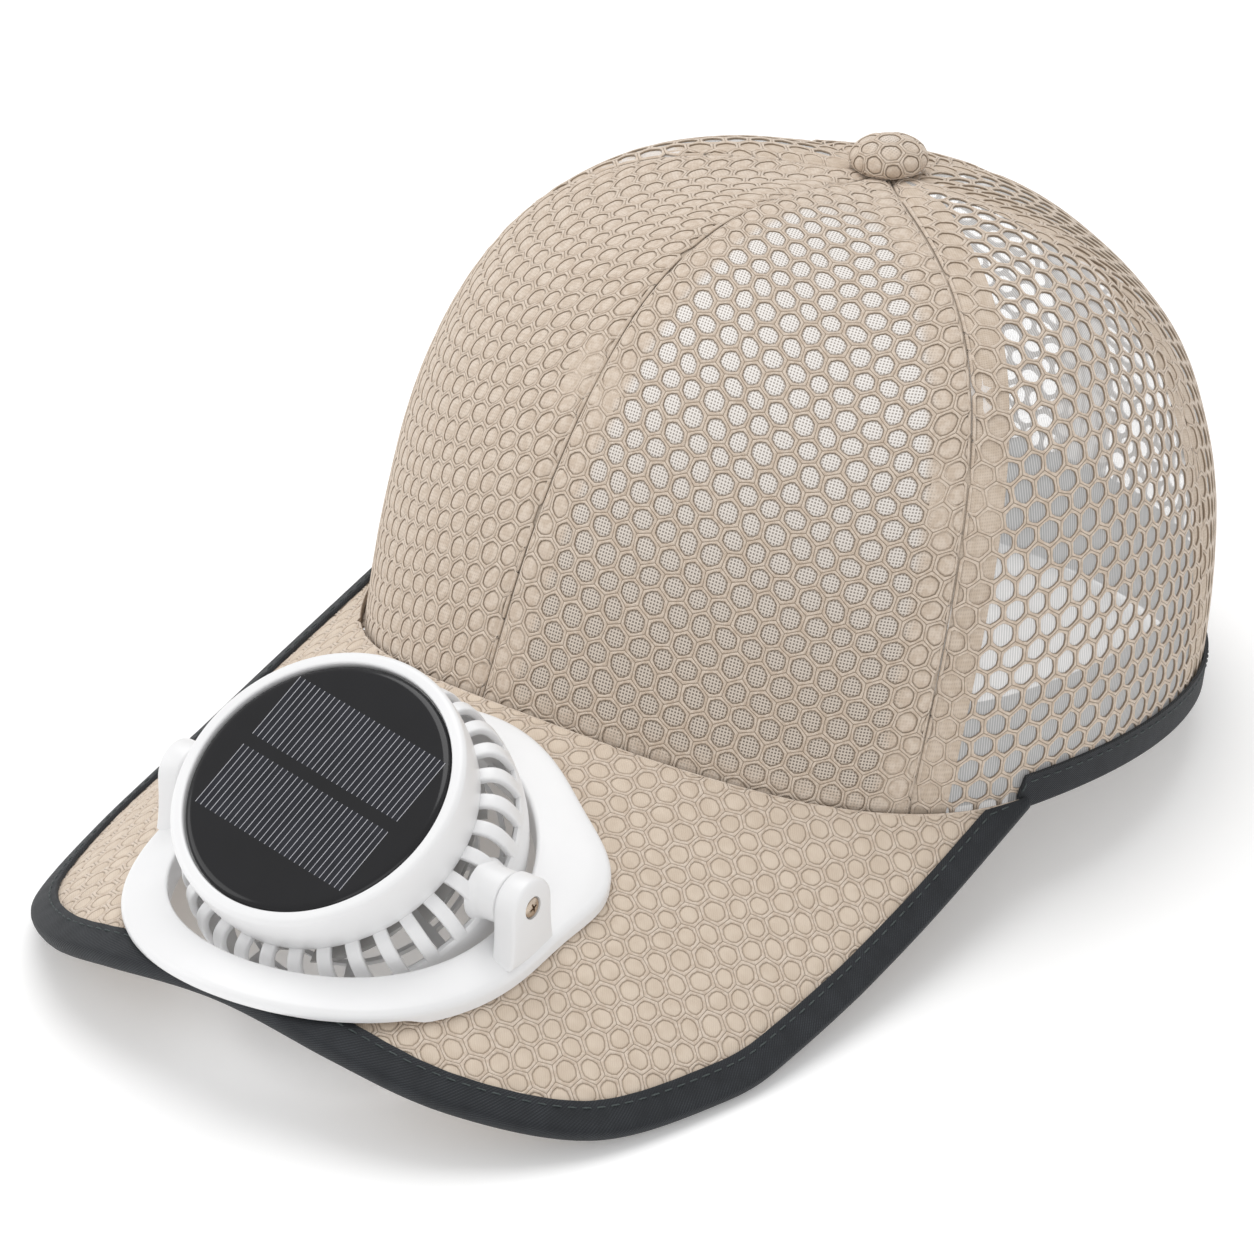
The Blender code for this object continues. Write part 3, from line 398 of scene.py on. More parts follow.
def mesh_of(name, points, faces, fields=None, weld=0.0, smooth=True):
    """A mesh with named numbers at its points; weld joins points closer than that."""
    mesh = bpy.data.meshes.new(name)
    mesh.from_pydata(np.asarray(points).tolist(), [], faces)
    for key, values in (fields or {}).items():
        field = mesh.attributes.new(key, "FLOAT", "POINT")
        field.data.foreach_set("value", np.asarray(values, np.float32))
    if weld:
        bm = bmesh.new()
        bm.from_mesh(mesh)
        bmesh.ops.remove_doubles(bm, verts=bm.verts, dist=weld)
        bmesh.ops.dissolve_degenerate(bm, edges=bm.edges, dist=1e-6)
        bm.to_mesh(mesh)
        bm.free()
    if smooth:
        mesh.shade_smooth()
    return mesh


def loop_faces(rings, size, closed_rings=False, closed_loop=True):
    """Quads between rings of points laid one after another, each ring with the same number of points."""
    faces = []
    for ring in range(rings if closed_rings else rings - 1):
        near = ring * size
        far = ((ring + 1) % rings) * size
        for i in range(size if closed_loop else size - 1):
            j = (i + 1) % size
            faces.append((near + i, near + j, far + j, far + i))
    return faces


def tube_faces(rings, size):
    """Quads between closed rings of points, and a face over each end."""
    ends = [tuple(range(size))[::-1], tuple(range((rings - 1) * size, rings * size))]
    return loop_faces(rings, size) + ends


def joined(parts):
    """Points and faces of several (points, faces) parts, laid one after another."""
    points = []
    faces = []
    for part_points, part_faces in parts:
        base = len(points)
        points.extend(np.asarray(part_points, float).tolist())
        faces.extend(tuple(base + i for i in face) for face in part_faces)
    return points, faces


def run_length(points):
    """Length along a row of points, from 0 at the first."""
    return np.concatenate([[0.0], np.cumsum(np.linalg.norm(np.diff(points, axis=0), axis=-1))])


def grid(first, columns, rows):
    """Shares over a grid: across from the first to 1, and along from 0 to 1."""
    across, along = np.meshgrid(np.linspace(first, 1.0, columns + 1), np.linspace(0.0, 1.0, rows + 1))
    return across.ravel(), along.ravel()


def turned(profile, segments):
    """Points and faces of a (radius, height) profile turned round the Z axis."""
    profile = np.array(profile, float)
    angle = np.linspace(0.0, 2 * pi, segments, endpoint=False)
    radius = profile[:, 0]
    points = np.stack([
        np.outer(np.cos(angle), radius),
        np.outer(np.sin(angle), radius),
        np.tile(profile[:, 1], (segments, 1)),
    ], -1).reshape(-1, 3)
    return points, loop_faces(segments, len(profile), closed_rings=True, closed_loop=False)


def arc(centre, radius, start, end, count):
    angles = np.linspace(start, end, count)
    return [(centre[0] + radius * cos(a), centre[1] + radius * sin(a)) for a in angles]


# Cloth laid flat: patterns keep their size on the curved sheets

class Cloth:
    """A curved sheet with flat coordinates in metres: u across from its middle line, v up along it."""

    def __init__(self, place, columns=32, rows=60, steps=40):
        self.place = place
        share = np.linspace(0.0, 1.0, columns + 1)
        self.rows = np.linspace(0.0, 1.0, rows + 1)
        grid_s, grid_t = np.meshgrid(share, self.rows)
        points = place(grid_s.ravel(), grid_t.ravel()).reshape(rows + 1, columns + 1, 3)
        run = np.concatenate([np.zeros((rows + 1, 1)),
                              np.cumsum(np.linalg.norm(np.diff(points, axis=1), axis=2), 1)], 1)
        run -= run[:, columns // 2][:, None]
        self.left = -run[:, 0]
        self.right = run[:, -1]
        self.length = run_length(points[:, columns // 2])
        self.height = self.length[-1]
        self.across = np.linspace(-1.0, 1.0, 2 * steps + 1)
        reach = np.where(self.across < 0, self.left[:, None], self.right[:, None]) * self.across
        self.shares = np.array([np.interp(reach[i], run[i], share) for i in range(rows + 1)])

    def half(self, u, v):
        """Distance from the middle line to the edge on that side."""
        return np.where(u < 0, np.interp(v, self.length, self.left), np.interp(v, self.length, self.right))

    def room(self, u, v):
        """Distance to the nearest side edge, less than 0 outside."""
        return self.half(u, v) - np.abs(u)

    def shares_at(self, u, v):
        row = np.interp(v, self.length, np.arange(len(self.length)))
        column = np.clip(u / np.maximum(self.half(u, v), 1e-6), -1.0, 1.0)
        column = (column + 1.0) / 2.0 * (len(self.across) - 1)
        i = np.minimum(row.astype(int), len(self.length) - 2)
        j = np.minimum(column.astype(int), len(self.across) - 2)
        a = row - i
        b = column - j
        table = self.shares
        s = ((table[i, j] * (1 - b) + table[i, j + 1] * b) * (1 - a)
             + (table[i + 1, j] * (1 - b) + table[i + 1, j + 1] * b) * a)
        return s, np.interp(v, self.length, self.rows)

    def keep(self, u, v, margin):
        """Flat coordinates moved inside the edges by a margin."""
        v = np.clip(v, margin, self.height - margin)
        most = np.maximum(self.half(u, v) - margin, 0.0)
        return np.clip(u, -most, most), v

    def relief(self, u, v):
        """Height of the cloth's face: folded in at the seams, and a little uneven."""
        fold = SEAM_FOLD * np.exp(-(self.room(u, v) / SEAM_FOLD_WIDTH) ** 2)
        wave = 0.12 * MM * (np.sin(u * 190 + 1.3) * np.sin(v * 160) + np.sin(u * 83 + v * 117 + 0.4))
        return wave - fold

    def at(self, u, v, offset, margin=0.0):
        u, v = self.keep(u, v, margin)
        s, t = self.shares_at(u, v)
        step = 0.003
        across = self.place(s + step, t) - self.place(s - step, t)
        along = self.place(s, np.minimum(t + step, 1.0)) - self.place(s, np.maximum(t - step, 0.0))
        out = normalised(np.cross(across, along))
        return self.place(s, t) + out * (offset + self.relief(u, v))[:, None]


TOP_RISE = 1.0 - APEX_HOLE / (3.0 * PROFILE["side"]["top_reach"])


def panel_cloth(index):
    def place(s, t):
        rise = t * TOP_RISE
        first = seam_angle(index, rise)
        last = seam_angle(index + 1, rise)
        return crown_face(first + (last - first) * s, rise)
    return Cloth(place)


class VisorCloth(Cloth):
    """The visor's face, cut to its outline, the crown and the fan's hole."""

    def __init__(self, side):
        self.side = side
        self.x = 1.02 * VISOR_HALF_WIDTH
        self.y_rear = JOIN_Y
        self.y_tip = CROWN_Y - VISOR_TIP - 0.001
        edge_t = np.linspace(0.0, 1.0, 500)
        self.edge = visor_outline(edge_t)
        self.edge_in = visor_inward(edge_t)
        super().__init__(self.face)

    def plan(self, s, t):
        return self.x * (2 * s - 1), self.y_tip + (self.y_rear - self.y_tip) * t

    def face(self, s, t):
        x, y = self.plan(s, t)
        return visor_point(x, y, np.zeros_like(x))

    def cut(self, x, y, margin):
        """Plan points moved into the cloth by a margin, and how far inside they were."""
        ellipse_x = CROWN_HALF_WIDTH + margin
        ellipse_y = CROWN_HALF_LENGTH + margin
        crown = np.hypot(x / ellipse_x, (y - CROWN_Y) / ellipse_y)
        room = (crown - 1.0) * CROWN_HALF_WIDTH
        scale = np.where(crown < 1.0, 1.0 / np.maximum(crown, 1e-6), 1.0)
        x = x * scale
        y = CROWN_Y + (y - CROWN_Y) * scale
        fan = np.hypot(x, y - FAN_Y)
        room = np.minimum(room, fan - VISOR_HOLE - margin)
        scale = np.where(fan < VISOR_HOLE + margin, (VISOR_HOLE + margin) / np.maximum(fan, 1e-6), 1.0)
        x = x * scale
        y = FAN_Y + (y - FAN_Y) * scale
        nearest = np.empty(len(x), int)
        for start in range(0, len(x), 4000):
            part = slice(start, start + 4000)
            gap = (x[part, None] - self.edge[None, :, 0]) ** 2 + (y[part, None] - self.edge[None, :, 1]) ** 2
            nearest[part] = gap.argmin(1)
        edge = self.edge[nearest]
        inward = self.edge_in[nearest]
        inside = (x - edge[:, 0]) * inward[:, 0] + (y - edge[:, 1]) * inward[:, 1]
        room = np.minimum(room, inside)
        outside = inside < margin
        x = np.where(outside, edge[:, 0] + inward[:, 0] * margin, x)
        y = np.where(outside, edge[:, 1] + inward[:, 1] * margin, y)
        return x, y, room

    def room(self, u, v):
        s, t = self.shares_at(u, v)
        x, y = self.plan(s, t)
        return self.cut(x, y, 0.0)[2]

    def at(self, u, v, offset, margin=0.0):
        s, t = self.shares_at(u, v)
        x, y = self.plan(s, t)
        x, y, _ = self.cut(x, y, margin)
        wave = 0.08 * MM * np.sin(u * 150 + 0.7) * np.sin(v * 130)
        return visor_point(x, y, self.side * (VISOR_THICKNESS / 2 + offset + wave))


class DomeCloth(Cloth):
    """Cloth drawn over the button, with flat coordinates measured from its middle."""

    def __init__(self, seat):
        self.seat = seat
        angle = np.linspace(pi / 2, 0.0, 24)
        radius = BUTTON_RADIUS * np.cos(angle)
        height = GAP + BUTTON_SKIRT + BUTTON_DOME * np.sin(angle)
        self.radius = np.concatenate([radius, [BUTTON_RADIUS * 0.97, BUTTON_RADIUS * 0.86]])
        self.rise = np.concatenate([height, [GAP + BUTTON_SKIRT * 0.55, GAP]])
        self.arc = run_length(np.stack([self.radius, self.rise], -1))

    def room(self, u, v):
        return self.arc[-1] - np.hypot(u, v)

    def at(self, u, v, offset, margin=0.0):
        reach = np.minimum(np.hypot(u, v), self.arc[-1] - margin)
        angle = np.arctan2(v, u)
        step = 0.0002
        low = np.maximum(reach - step, 0.0)
        high = reach + step
        run_r = np.interp(high, self.arc, self.radius) - np.interp(low, self.arc, self.radius)
        run_z = np.interp(high, self.arc, self.rise) - np.interp(low, self.arc, self.rise)
        length = np.maximum(np.hypot(run_r, run_z), 1e-9)
        radius = np.interp(reach, self.arc, self.radius) - run_z / length * offset
        height = np.interp(reach, self.arc, self.rise) + run_r / length * offset
        return np.stack([radius * np.cos(angle), radius * np.sin(angle), height], -1) + np.array(self.seat)


# Honeycomb net

def lattice(cloth, pitch, grain, reach_u, low_v, high_v):
    """Middles of the cells that lie on the cloth."""
    row_pitch = pitch * 3 ** 0.5 / 2
    span = int((reach_u + high_v - low_v) / row_pitch) + 3
    row, column = np.meshgrid(np.arange(-span, span + 1), np.arange(-span, span + 1), indexing="ij")
    a = (column + 0.5 * (row % 2)) * pitch
    b = row * row_pitch
    a = a.ravel()
    b = b.ravel()
    u = a * cos(grain) - b * sin(grain)
    v = a * sin(grain) + b * cos(grain) + (low_v + high_v) / 2
    wanted = (np.abs(u) < reach_u) & (v > low_v - 0.3 * pitch) & (v < high_v + 0.3 * pitch)
    u = u[wanted]
    v = v[wanted]
    wanted = cloth.room(u, np.clip(v, low_v, high_v)) > -0.35 * pitch
    return u[wanted], v[wanted]


def cell_shapes(pitch, strand, grain):
    """Offsets of a cell's edge and of the hexagon round it, at the same angles."""
    angle = np.arange(CELL_SIDES) * 2 * pi / CELL_SIDES
    sides = np.array([0.0, pi / 3, 2 * pi / 3])
    toward = np.abs(np.cos(angle[:, None] - sides[None, :]))
    hexagon = (pitch / 2) / toward.max(1)
    cell = (pitch / 2 - strand / 2) / (toward ** 7).sum(1) ** (1 / 7)
    turned_angle = angle + grain
    direction = np.stack([np.cos(turned_angle), np.sin(turned_angle)], -1)
    return cell[:, None] * direction, hexagon[:, None] * direction


def warp(u, v):
    """Small unevenness of the knitted cells, the same for all that share a place."""
    du = 0.22 * MM * (np.sin(u * 410 + 2.0 * np.sin(v * 150)) + 0.7 * np.sin(v * 530 + 0.8))
    dv = 0.22 * MM * (np.sin(v * 470 + 1.7 * np.sin(u * 170)) + 0.7 * np.sin(u * 610 + 2.1))
    return u + du, v + dv


def cell_mesh(name, cloth, cells, section, shapes, margins, key, weld, middle=None, colour=None):
    """Rings of points round every cell, one for each row of the section, closed where a middle is given.

    The rows' numbers under the key go with the points, 0 in the middle.
    """
    cell_u, cell_v = cells
    count = len(cell_u) * CELL_SIDES
    index = np.arange(count).reshape(-1, CELL_SIDES)
    after = np.roll(index, -1, axis=1)
    rings = []
    flat = []
    faces = []
    for number, (row, shape, margin) in enumerate(zip(section, shapes, margins)):
        u = (cell_u[:, None] + shape[None, :, 0]).ravel()
        v = (cell_v[:, None] + shape[None, :, 1]).ravel()
        u, v = warp(u, v)
        rings.append(cloth.at(u, v, np.full(count, row["height"]), margin))
        flat.append((u, v))
        if number:
            far = number * count
            near = far - count
            quads = np.stack([index + near, after + near, after + far, index + far], -1)
            faces.extend(quads.reshape(-1, 4).tolist())
    values = np.repeat([row[key] for row in section], count)
    if middle is not None:
        u, v = warp(cell_u, cell_v)
        rings.append(cloth.at(u, v, np.full(len(u), middle["height"]), middle["margin"]))
        flat.append((u, v))
        values = np.append(values, np.zeros(len(u)))
        centre = np.repeat(np.arange(len(u)) + len(section) * count, CELL_SIDES).reshape(-1, CELL_SIDES)
        near = (len(section) - 1) * count
        faces.extend(np.stack([index + near, after + near, centre], -1).reshape(-1, 3).tolist())
    u = np.concatenate([ring[0] for ring in flat])
    v = np.concatenate([ring[1] for ring in flat])
    fields = {"u": u, "v": v, key: values}
    if colour is not None:
        fields.update(colour(u, v))
    return mesh_of(name, np.concatenate(rings), faces, fields, weld)


def net_piece(name, cloth, cells, grain, section, pitch=CELL_PITCH, strand=STRAND, edge=0.75 * MM):
    """The honeycomb's strands: a ring round each cell, joined to its neighbours."""
    cell, hexagon = cell_shapes(pitch, strand, grain)
    shapes = [cell + (hexagon - cell) * row["share"] for row in section]
    margins = [EDGE_MARGIN + (1.0 - row["share"]) * edge for row in section]
    return cell_mesh(name, cloth, cells, section, shapes, margins, "relief", 0.02 * MM)


def fill_piece(name, cloth, cells, grain, lift=0.0, colour=None, pitch=CELL_PITCH, strand=STRAND):
    """The backing cloth where it shows in the cells, pushed up a little into each."""
    cell, _ = cell_shapes(pitch, strand, grain)
    section = [{**row, "height": row["height"] + lift} for row in FILL_SECTION]
    shapes = [cell * row["share"] for row in section]
    margins = [EDGE_MARGIN + (FILL_REACH - row["share"]) * 0.3 * MM for row in section]
    middle = {**FILL_MIDDLE, "height": FILL_MIDDLE["height"] + lift}
    return cell_mesh(name, cloth, cells, section, shapes, margins, "shade", WELD, middle, colour)


def sheet_piece(name, cloth, columns, rows, offset):
    """A plain sheet behind the net."""
    share, along = grid(-1.0, columns, rows)
    v = along * cloth.height
    u = share * cloth.half(share, v)
    points = cloth.at(u, v, np.full(len(u), offset), 0.10 * MM)
    return mesh_of(name, points, loop_faces(rows + 1, columns + 1, closed_loop=False), {"u": u, "v": v})


# Materials

class Nodes:
    """Short calls for building a material's nodes."""

    def __init__(self, name, roughness, metallic=0.0):
        self.material = bpy.data.materials.new(name)
        self.material.use_nodes = True
        self.tree = self.material.node_tree
        self.shader = self.tree.nodes["Principled BSDF"]
        self.shader.inputs["Roughness"].default_value = roughness
        self.shader.inputs["Metallic"].default_value = metallic

    def node(self, kind, **values):
        node = self.tree.nodes.new(kind)
        for key, value in values.items():
            setattr(node, key, value)
        return node

    def link(self, output, target):
        if hasattr(output, "is_output"):
            self.tree.links.new(output, target)
        else:
            target.default_value = output

    def field(self, name):
        return self.node("ShaderNodeAttribute", attribute_name=name).outputs["Fac"]

    def maths(self, operation, a, b=0.0):
        node = self.node("ShaderNodeMath", operation=operation)
        self.link(a, node.inputs[0])
        self.link(b, node.inputs[1])
        return node.outputs[0]

    def multiply_add(self, value, factor, extra):
        node = self.node("ShaderNodeMath", operation="MULTIPLY_ADD")
        self.link(value, node.inputs[0])
        node.inputs[1].default_value = factor
        node.inputs[2].default_value = extra
        return node.outputs[0]

    def wave(self, value, pitch):
        """A sine of a length, from 0 to 1, that repeats at the pitch."""
        return self.multiply_add(self.maths("SINE", self.multiply_add(value, 2 * pi / pitch, 0.0)), 0.5, 0.5)

    def ramp(self, value, low, high):
        """0 below low, 1 above high, smooth between."""
        node = self.node("ShaderNodeMapRange", interpolation_type="SMOOTHSTEP")
        self.link(value, node.inputs["Value"])
        node.inputs["From Min"].default_value = low
        node.inputs["From Max"].default_value = high
        return node.outputs["Result"]

    def noise(self, scale, detail=2.0):
        place = self.node("ShaderNodeTexCoord").outputs["Object"]
        node = self.node("ShaderNodeTexNoise")
        node.inputs["Scale"].default_value = scale
        node.inputs["Detail"].default_value = detail
        self.tree.links.new(place, node.inputs["Vector"])
        return node.outputs["Fac"]

    def mix(self, share, a, b):
        node = self.node("ShaderNodeMix", data_type="RGBA")
        self.link(share, node.inputs[0])
        for value, target in ((a, node.inputs[6]), (b, node.inputs[7])):
            if isinstance(value, tuple):
                target.default_value = (*value, 1.0)
            else:
                self.tree.links.new(value, target)
        return node.outputs[2]

    def colour(self, output):
        self.tree.links.new(output, self.shader.inputs["Base Color"])

    def bump(self, height, distance, strength=1.0):
        node = self.node("ShaderNodeBump")
        node.inputs["Distance"].default_value = distance
        node.inputs["Strength"].default_value = strength
        self.link(height, node.inputs["Height"])
        self.tree.links.new(node.outputs["Normal"], self.shader.inputs["Normal"])


def net_material():
    """Knitted strands: tan yarn, with painted shade in the groove between two cells."""
    n = Nodes("mesh_yarn", 0.82)
    n.shader.inputs["Sheen Weight"].default_value = 0.25
    yarn = n.mix(n.ramp(n.noise(900.0), 0.35, 0.65), TAN, TAN_PALE)
    relief = n.field("relief")
    # Painted shade: the yarn darkens to TAN_DEEP down in the groove, where relief is low
    n.colour(n.mix(n.ramp(relief, 0.0, 0.75), TAN_DEEP, yarn))
    twist = n.wave(n.maths("ADD", n.field("u"), n.field("v")), 0.55 * MM)
    n.bump(n.maths("ADD", twist, n.noise(1800.0)), 0.00008, 0.5)
    return n.material


def backing_material():
    """Cloth behind the cells: tan by the seams, pale with pin-holes where the panel is open; the pin-holes
    are painted dark with shade, and threads and holes carry painted light, darker at the panel's bottom.
    """
    n = Nodes("mesh_backing", 0.88)
    n.shader.inputs["Sheen Weight"].default_value = 0.15
    u = n.field("u")
    v = n.field("v")
    pale = n.field("pale")
    painted_light = n.field("painted_light")
    holes = n.maths("MULTIPLY", n.wave(u, 0.66 * MM), n.wave(v, 0.66 * MM))
    holes = n.ramp(holes, 0.24, 0.46)
    tan = n.mix(n.ramp(n.noise(700.0), 0.35, 0.65), TAN, TAN_PALE)
    # Painted light: threads and pin-holes are darker low on the panel and lighter higher up; the pin-holes'
    # colour is painted shade
    pale_thread = n.mix(painted_light, (0.640, 0.560, 0.480), (0.850, 0.810, 0.770))
    thread = n.mix(pale, tan, pale_thread)
    gap = n.mix(painted_light, (0.110, 0.085, 0.065), (0.300, 0.265, 0.235))
    closed = n.mix(n.maths("MULTIPLY", holes, 0.12), tan, TAN_DEEP)
    opened = n.mix(n.maths("MULTIPLY", holes, 0.85), thread, gap)
    cloth = n.mix(pale, closed, opened)
    n.colour(n.mix(n.maths("MULTIPLY", n.field("shade"), 0.75), cloth, TAN_DEEP))
    n.bump(n.maths("SUBTRACT", n.noise(1600.0), holes), 0.0001, 0.4)
    return n.material


def visor_backing_material():
    """Smooth tan cloth in the visor's cells, with a fine slanting rib."""
    n = Nodes("visor_backing", 0.85)
    n.shader.inputs["Sheen Weight"].default_value = 0.15
    rib = n.wave(n.maths("ADD", n.field("u"), n.field("v")), 0.62 * MM)
    base = n.mix(n.ramp(n.noise(260.0), 0.3, 0.7), (0.600, 0.490, 0.385), (0.680, 0.570, 0.460))
    cloth = n.mix(n.maths("MULTIPLY", rib, 0.30), base, (0.750, 0.650, 0.540))
    n.colour(n.mix(n.maths("MULTIPLY", n.field("shade"), 0.75), cloth, TAN_DEEP))
    n.bump(n.maths("ADD", rib, n.noise(1500.0)), 0.0001, 0.4)
    return n.material


def veil_material():
    """Fine upright grey threads across the open cells, over a faint white cover between them; the veil has a
    painted glow for the light that comes through it.
    """
    n = Nodes("mesh_veil", 0.8)
    thread = n.ramp(n.wave(n.field("u"), 0.56 * MM), 0.70, 0.95)
    n.colour(n.mix(thread, (0.97, 0.97, 0.97), (0.62, 0.61, 0.60)))
    # Painted glow: the veil emits a little white light, for light coming through the mesh
    n.shader.inputs["Emission Color"].default_value = (1.0, 1.0, 1.0, 1.0)
    n.shader.inputs["Emission Strength"].default_value = 0.22
    cover = n.multiply_add(thread, 0.40, 0.34)
    n.tree.links.new(cover, n.shader.inputs["Alpha"])
    return n.material


def tape_material():
    n = Nodes("seam_tape", 0.88)
    weave = n.maths("MULTIPLY", n.wave(n.field("u"), 0.5 * MM), n.wave(n.field("v"), 0.5 * MM))
    tan = n.mix(n.ramp(n.noise(600.0), 0.35, 0.65), (0.590, 0.485, 0.385), (0.670, 0.565, 0.465))
    n.colour(n.mix(n.maths("MULTIPLY", weave, 0.28), tan, TAN_DEEP))
    n.bump(weave, 0.0001, 0.4)
    return n.material


def twill_material(name, dark, light):
    """Twill tape: fine slanting ribs."""
    n = Nodes(name, 0.82)
    n.shader.inputs["Sheen Weight"].default_value = 0.06
    rib = n.wave(n.maths("ADD", n.field("u"), n.maths("MULTIPLY", n.field("v"), 1.5)), 0.80 * MM)
    cross = n.wave(n.maths("SUBTRACT", n.field("v"), n.maths("MULTIPLY", n.field("u"), 0.4)), 0.45 * MM)
    weave = n.maths("MULTIPLY", rib, n.multiply_add(cross, 0.4, 0.6))
    n.colour(n.mix(n.maths("MULTIPLY", weave, n.ramp(n.noise(220.0), 0.1, 0.9)), dark, light))
    n.bump(weave, 0.00015, 0.6)
    return n.material


def plain_material(name, colour, other, roughness, metallic, scale, bump):
    """A smooth surface with a faint cloudiness and grain."""
    n = Nodes(name, roughness, metallic)
    cloud = n.noise(scale, 3.0)
    n.colour(n.mix(n.ramp(cloud, 0.3, 0.7), colour, other))
    grain = n.noise(scale * 9.0)
    n.bump(grain, bump, 0.5)
    spread = n.node("ShaderNodeMapRange")
    n.link(cloud, spread.inputs["Value"])
    spread.inputs["To Min"].default_value = max(roughness - 0.05, 0.02)
    spread.inputs["To Max"].default_value = roughness + 0.05
    n.tree.links.new(spread.outputs["Result"], n.shader.inputs["Roughness"])
    return n.material


def solar_material():
    n = Nodes("solar_resin", 0.14)
    n.shader.inputs["Specular IOR Level"].default_value = 0.40
    cloud = n.noise(120.0, 3.0)
    n.colour(n.mix(cloud, (0.008, 0.008, 0.009), (0.013, 0.013, 0.015)))
    n.bump(n.noise(900.0), 0.000004, 0.3)
    return n.material


# Crown

def panel_colour(cloth, panel):
    """How pale the backing is over a panel, and its painted light: threads and pin-holes darker towards the
    panel's bottom, lighter higher up.
    """
    def colour(u, v):
        inside = smooth_step((cloth.room(u, v) - 0.0060) / 0.0040)
        share = v / cloth.height
        pale = panel["pale"] * inside * smooth_step(share / 0.05) * (1.0 - smooth_step((share - 0.78) / 0.14))
        # Painted light, rising from the panel's bottom
        painted_light = smooth_step((share - 0.10) / 0.45)
        return {"pale": pale, "painted_light": painted_light}
    return colour


def build_crown(m):
    for index, panel in enumerate(PANELS):
        name = panel["name"]
        grain = panel["grain"]
        cloth = panel_cloth(index)
        reach = max(cloth.left.max(), cloth.right.max())
        cells = lattice(cloth, CELL_PITCH, grain, reach + CELL_PITCH, 0.0, cloth.height)
        mesh = net_piece(f"{name}_net", cloth, cells, grain, NET_SECTION)
        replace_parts(new_object(f"{name}_net", mesh, m["yarn"], "cap"), name)
        if panel["lined"]:
            fill = fill_piece(f"{name}_backing", cloth, cells, grain, 0.0, panel_colour(cloth, panel))
            new_object(f"{name}_backing", fill, m["backing"], "cap")
        else:
            veil = sheet_piece(f"{name}_veil", cloth, 24, 40, -0.45 * MM)
            new_object(f"{name}_veil", veil, m["veil"], "cap")
    for index in range(len(PANELS)):
        name = f"seam_tape_{index + 1}"
        new_object(name, seam_tape(name, index), m["tape"], "cap")


def seam_tape(name, index):
    """The tape sewn over a seam inside the crown, narrower near the top where the seams meet."""
    columns = 12
    rows = 60
    share, along = grid(-1.0, columns, rows)
    rise = along * TOP_RISE
    angle = seam_angle(index, rise)
    step = 0.004
    span = crown_face(angle + step, rise) - crown_face(angle - step, rise)
    per_angle = np.linalg.norm(span, axis=1) / (2 * step)
    u = share * np.minimum(TAPE_WIDTH, per_angle * radians(24.0))
    depth = 0.30 * MM + (SEAM_FOLD + 0.15 * MM) * np.exp(-(u / SEAM_FOLD_WIDTH) ** 2)
    points = crown_point(angle + u / per_angle, rise, -depth)
    faces = loop_faces(rows + 1, columns + 1, closed_loop=False)
    return mesh_of(name, points, faces, {"u": u, "v": along * TAPE_LENGTH})


def build_button(m):
    top = crown_face(np.array([0.0]), np.array([1.0]))[0]
    dome = DomeCloth((top[0], top[1], top[2] + APEX_SLOPE * BUTTON_RADIUS * 0.86))
    pitch = 5.0 * MM
    strand = 0.9 * MM
    grain = radians(12.0)
    cells = lattice(dome, pitch, grain, dome.arc[-1] + pitch, -dome.arc[-1], dome.arc[-1])
    net = net_piece("button_net", dome, cells, grain, NET_SECTION[:6], pitch, strand, 0.3 * MM)
    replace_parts(new_object("button_net", net, m["yarn"], "cap"), "button")

    def colour(u, v):
        reach = np.hypot(u, v) / dome.arc[-1]
        # The same painted light all over the button
        return {"pale": 0.55 * (1.0 - smooth_step((reach - 0.2) / 0.4)), "painted_light": np.full(len(u), 0.75)}
    fill = fill_piece("button_backing", dome, cells, grain, -0.05 * MM, colour, pitch, strand)
    new_object("button_backing", fill, m["backing"], "cap")
    stem = BUTTON_RADIUS * 0.2
    profile = [(0.0, GAP + BUTTON_SKIRT + BUTTON_DOME - 0.7 * MM)]
    profile += [(r - 0.7 * MM, z - 0.2 * MM) for r, z in zip(dome.radius[8:], dome.rise[8:])]
    profile += [(stem, GAP), (stem, -CROWN_WALL), (0.0, -CROWN_WALL)]
    points, faces = turned(profile, 40)
    fields = {"u": points[:, 0], "v": points[:, 1]}
    core = mesh_of("button_core", points + np.array(dome.seat), faces, fields, WELD)
    new_object("button_core", core, m["tape"], "cap")


def build_sweatband(m):
    """The band inside the lower edge: soft cloth with a rounded top edge."""
    inset = CROWN_WALL + 2 * GAP + BINDING_THICKNESS
    count = 240
    angle = np.linspace(-pi, pi, count, endpoint=False)
    low = SWEATBAND_START
    high = SWEATBAND_START + SWEATBAND_HEIGHT
    middle = (low + high) / 2
    # Section: height along the crown, and depth from the band's outer face
    section = [(low, 0.4), (low + 0.5 * MM, 0.0), (middle, 0.0), (high - 0.6 * MM, 0.0), (high, 0.6)]
    section += [(high, 1.2), (high - 0.6 * MM, 1.8), (high - 1.6 * MM, 1.9)]
    section += [(middle, 1.6), (low + 0.5 * MM, 1.8), (low, 1.4)]
    rings = []
    for length, depth in section:
        rise = rise_for_length(angle, np.full(count, length))
        rings.append(crown_point(angle, rise, np.full(count, -(inset + depth * MM))))
    size = len(section)
    fields = {
        "u": np.repeat(angle * SWEATBAND_RADIUS, size),
        "v": np.tile([length + depth * MM for length, depth in section], count),
    }
    faces = loop_faces(count, size, closed_rings=True)
    band = mesh_of("sweatband_cloth", np.stack(rings, 1).reshape(-1, 3), faces, fields)
    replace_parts(new_object("sweatband_cloth", band, m["sweatband"], "cap"), "sweatband")


# Visor

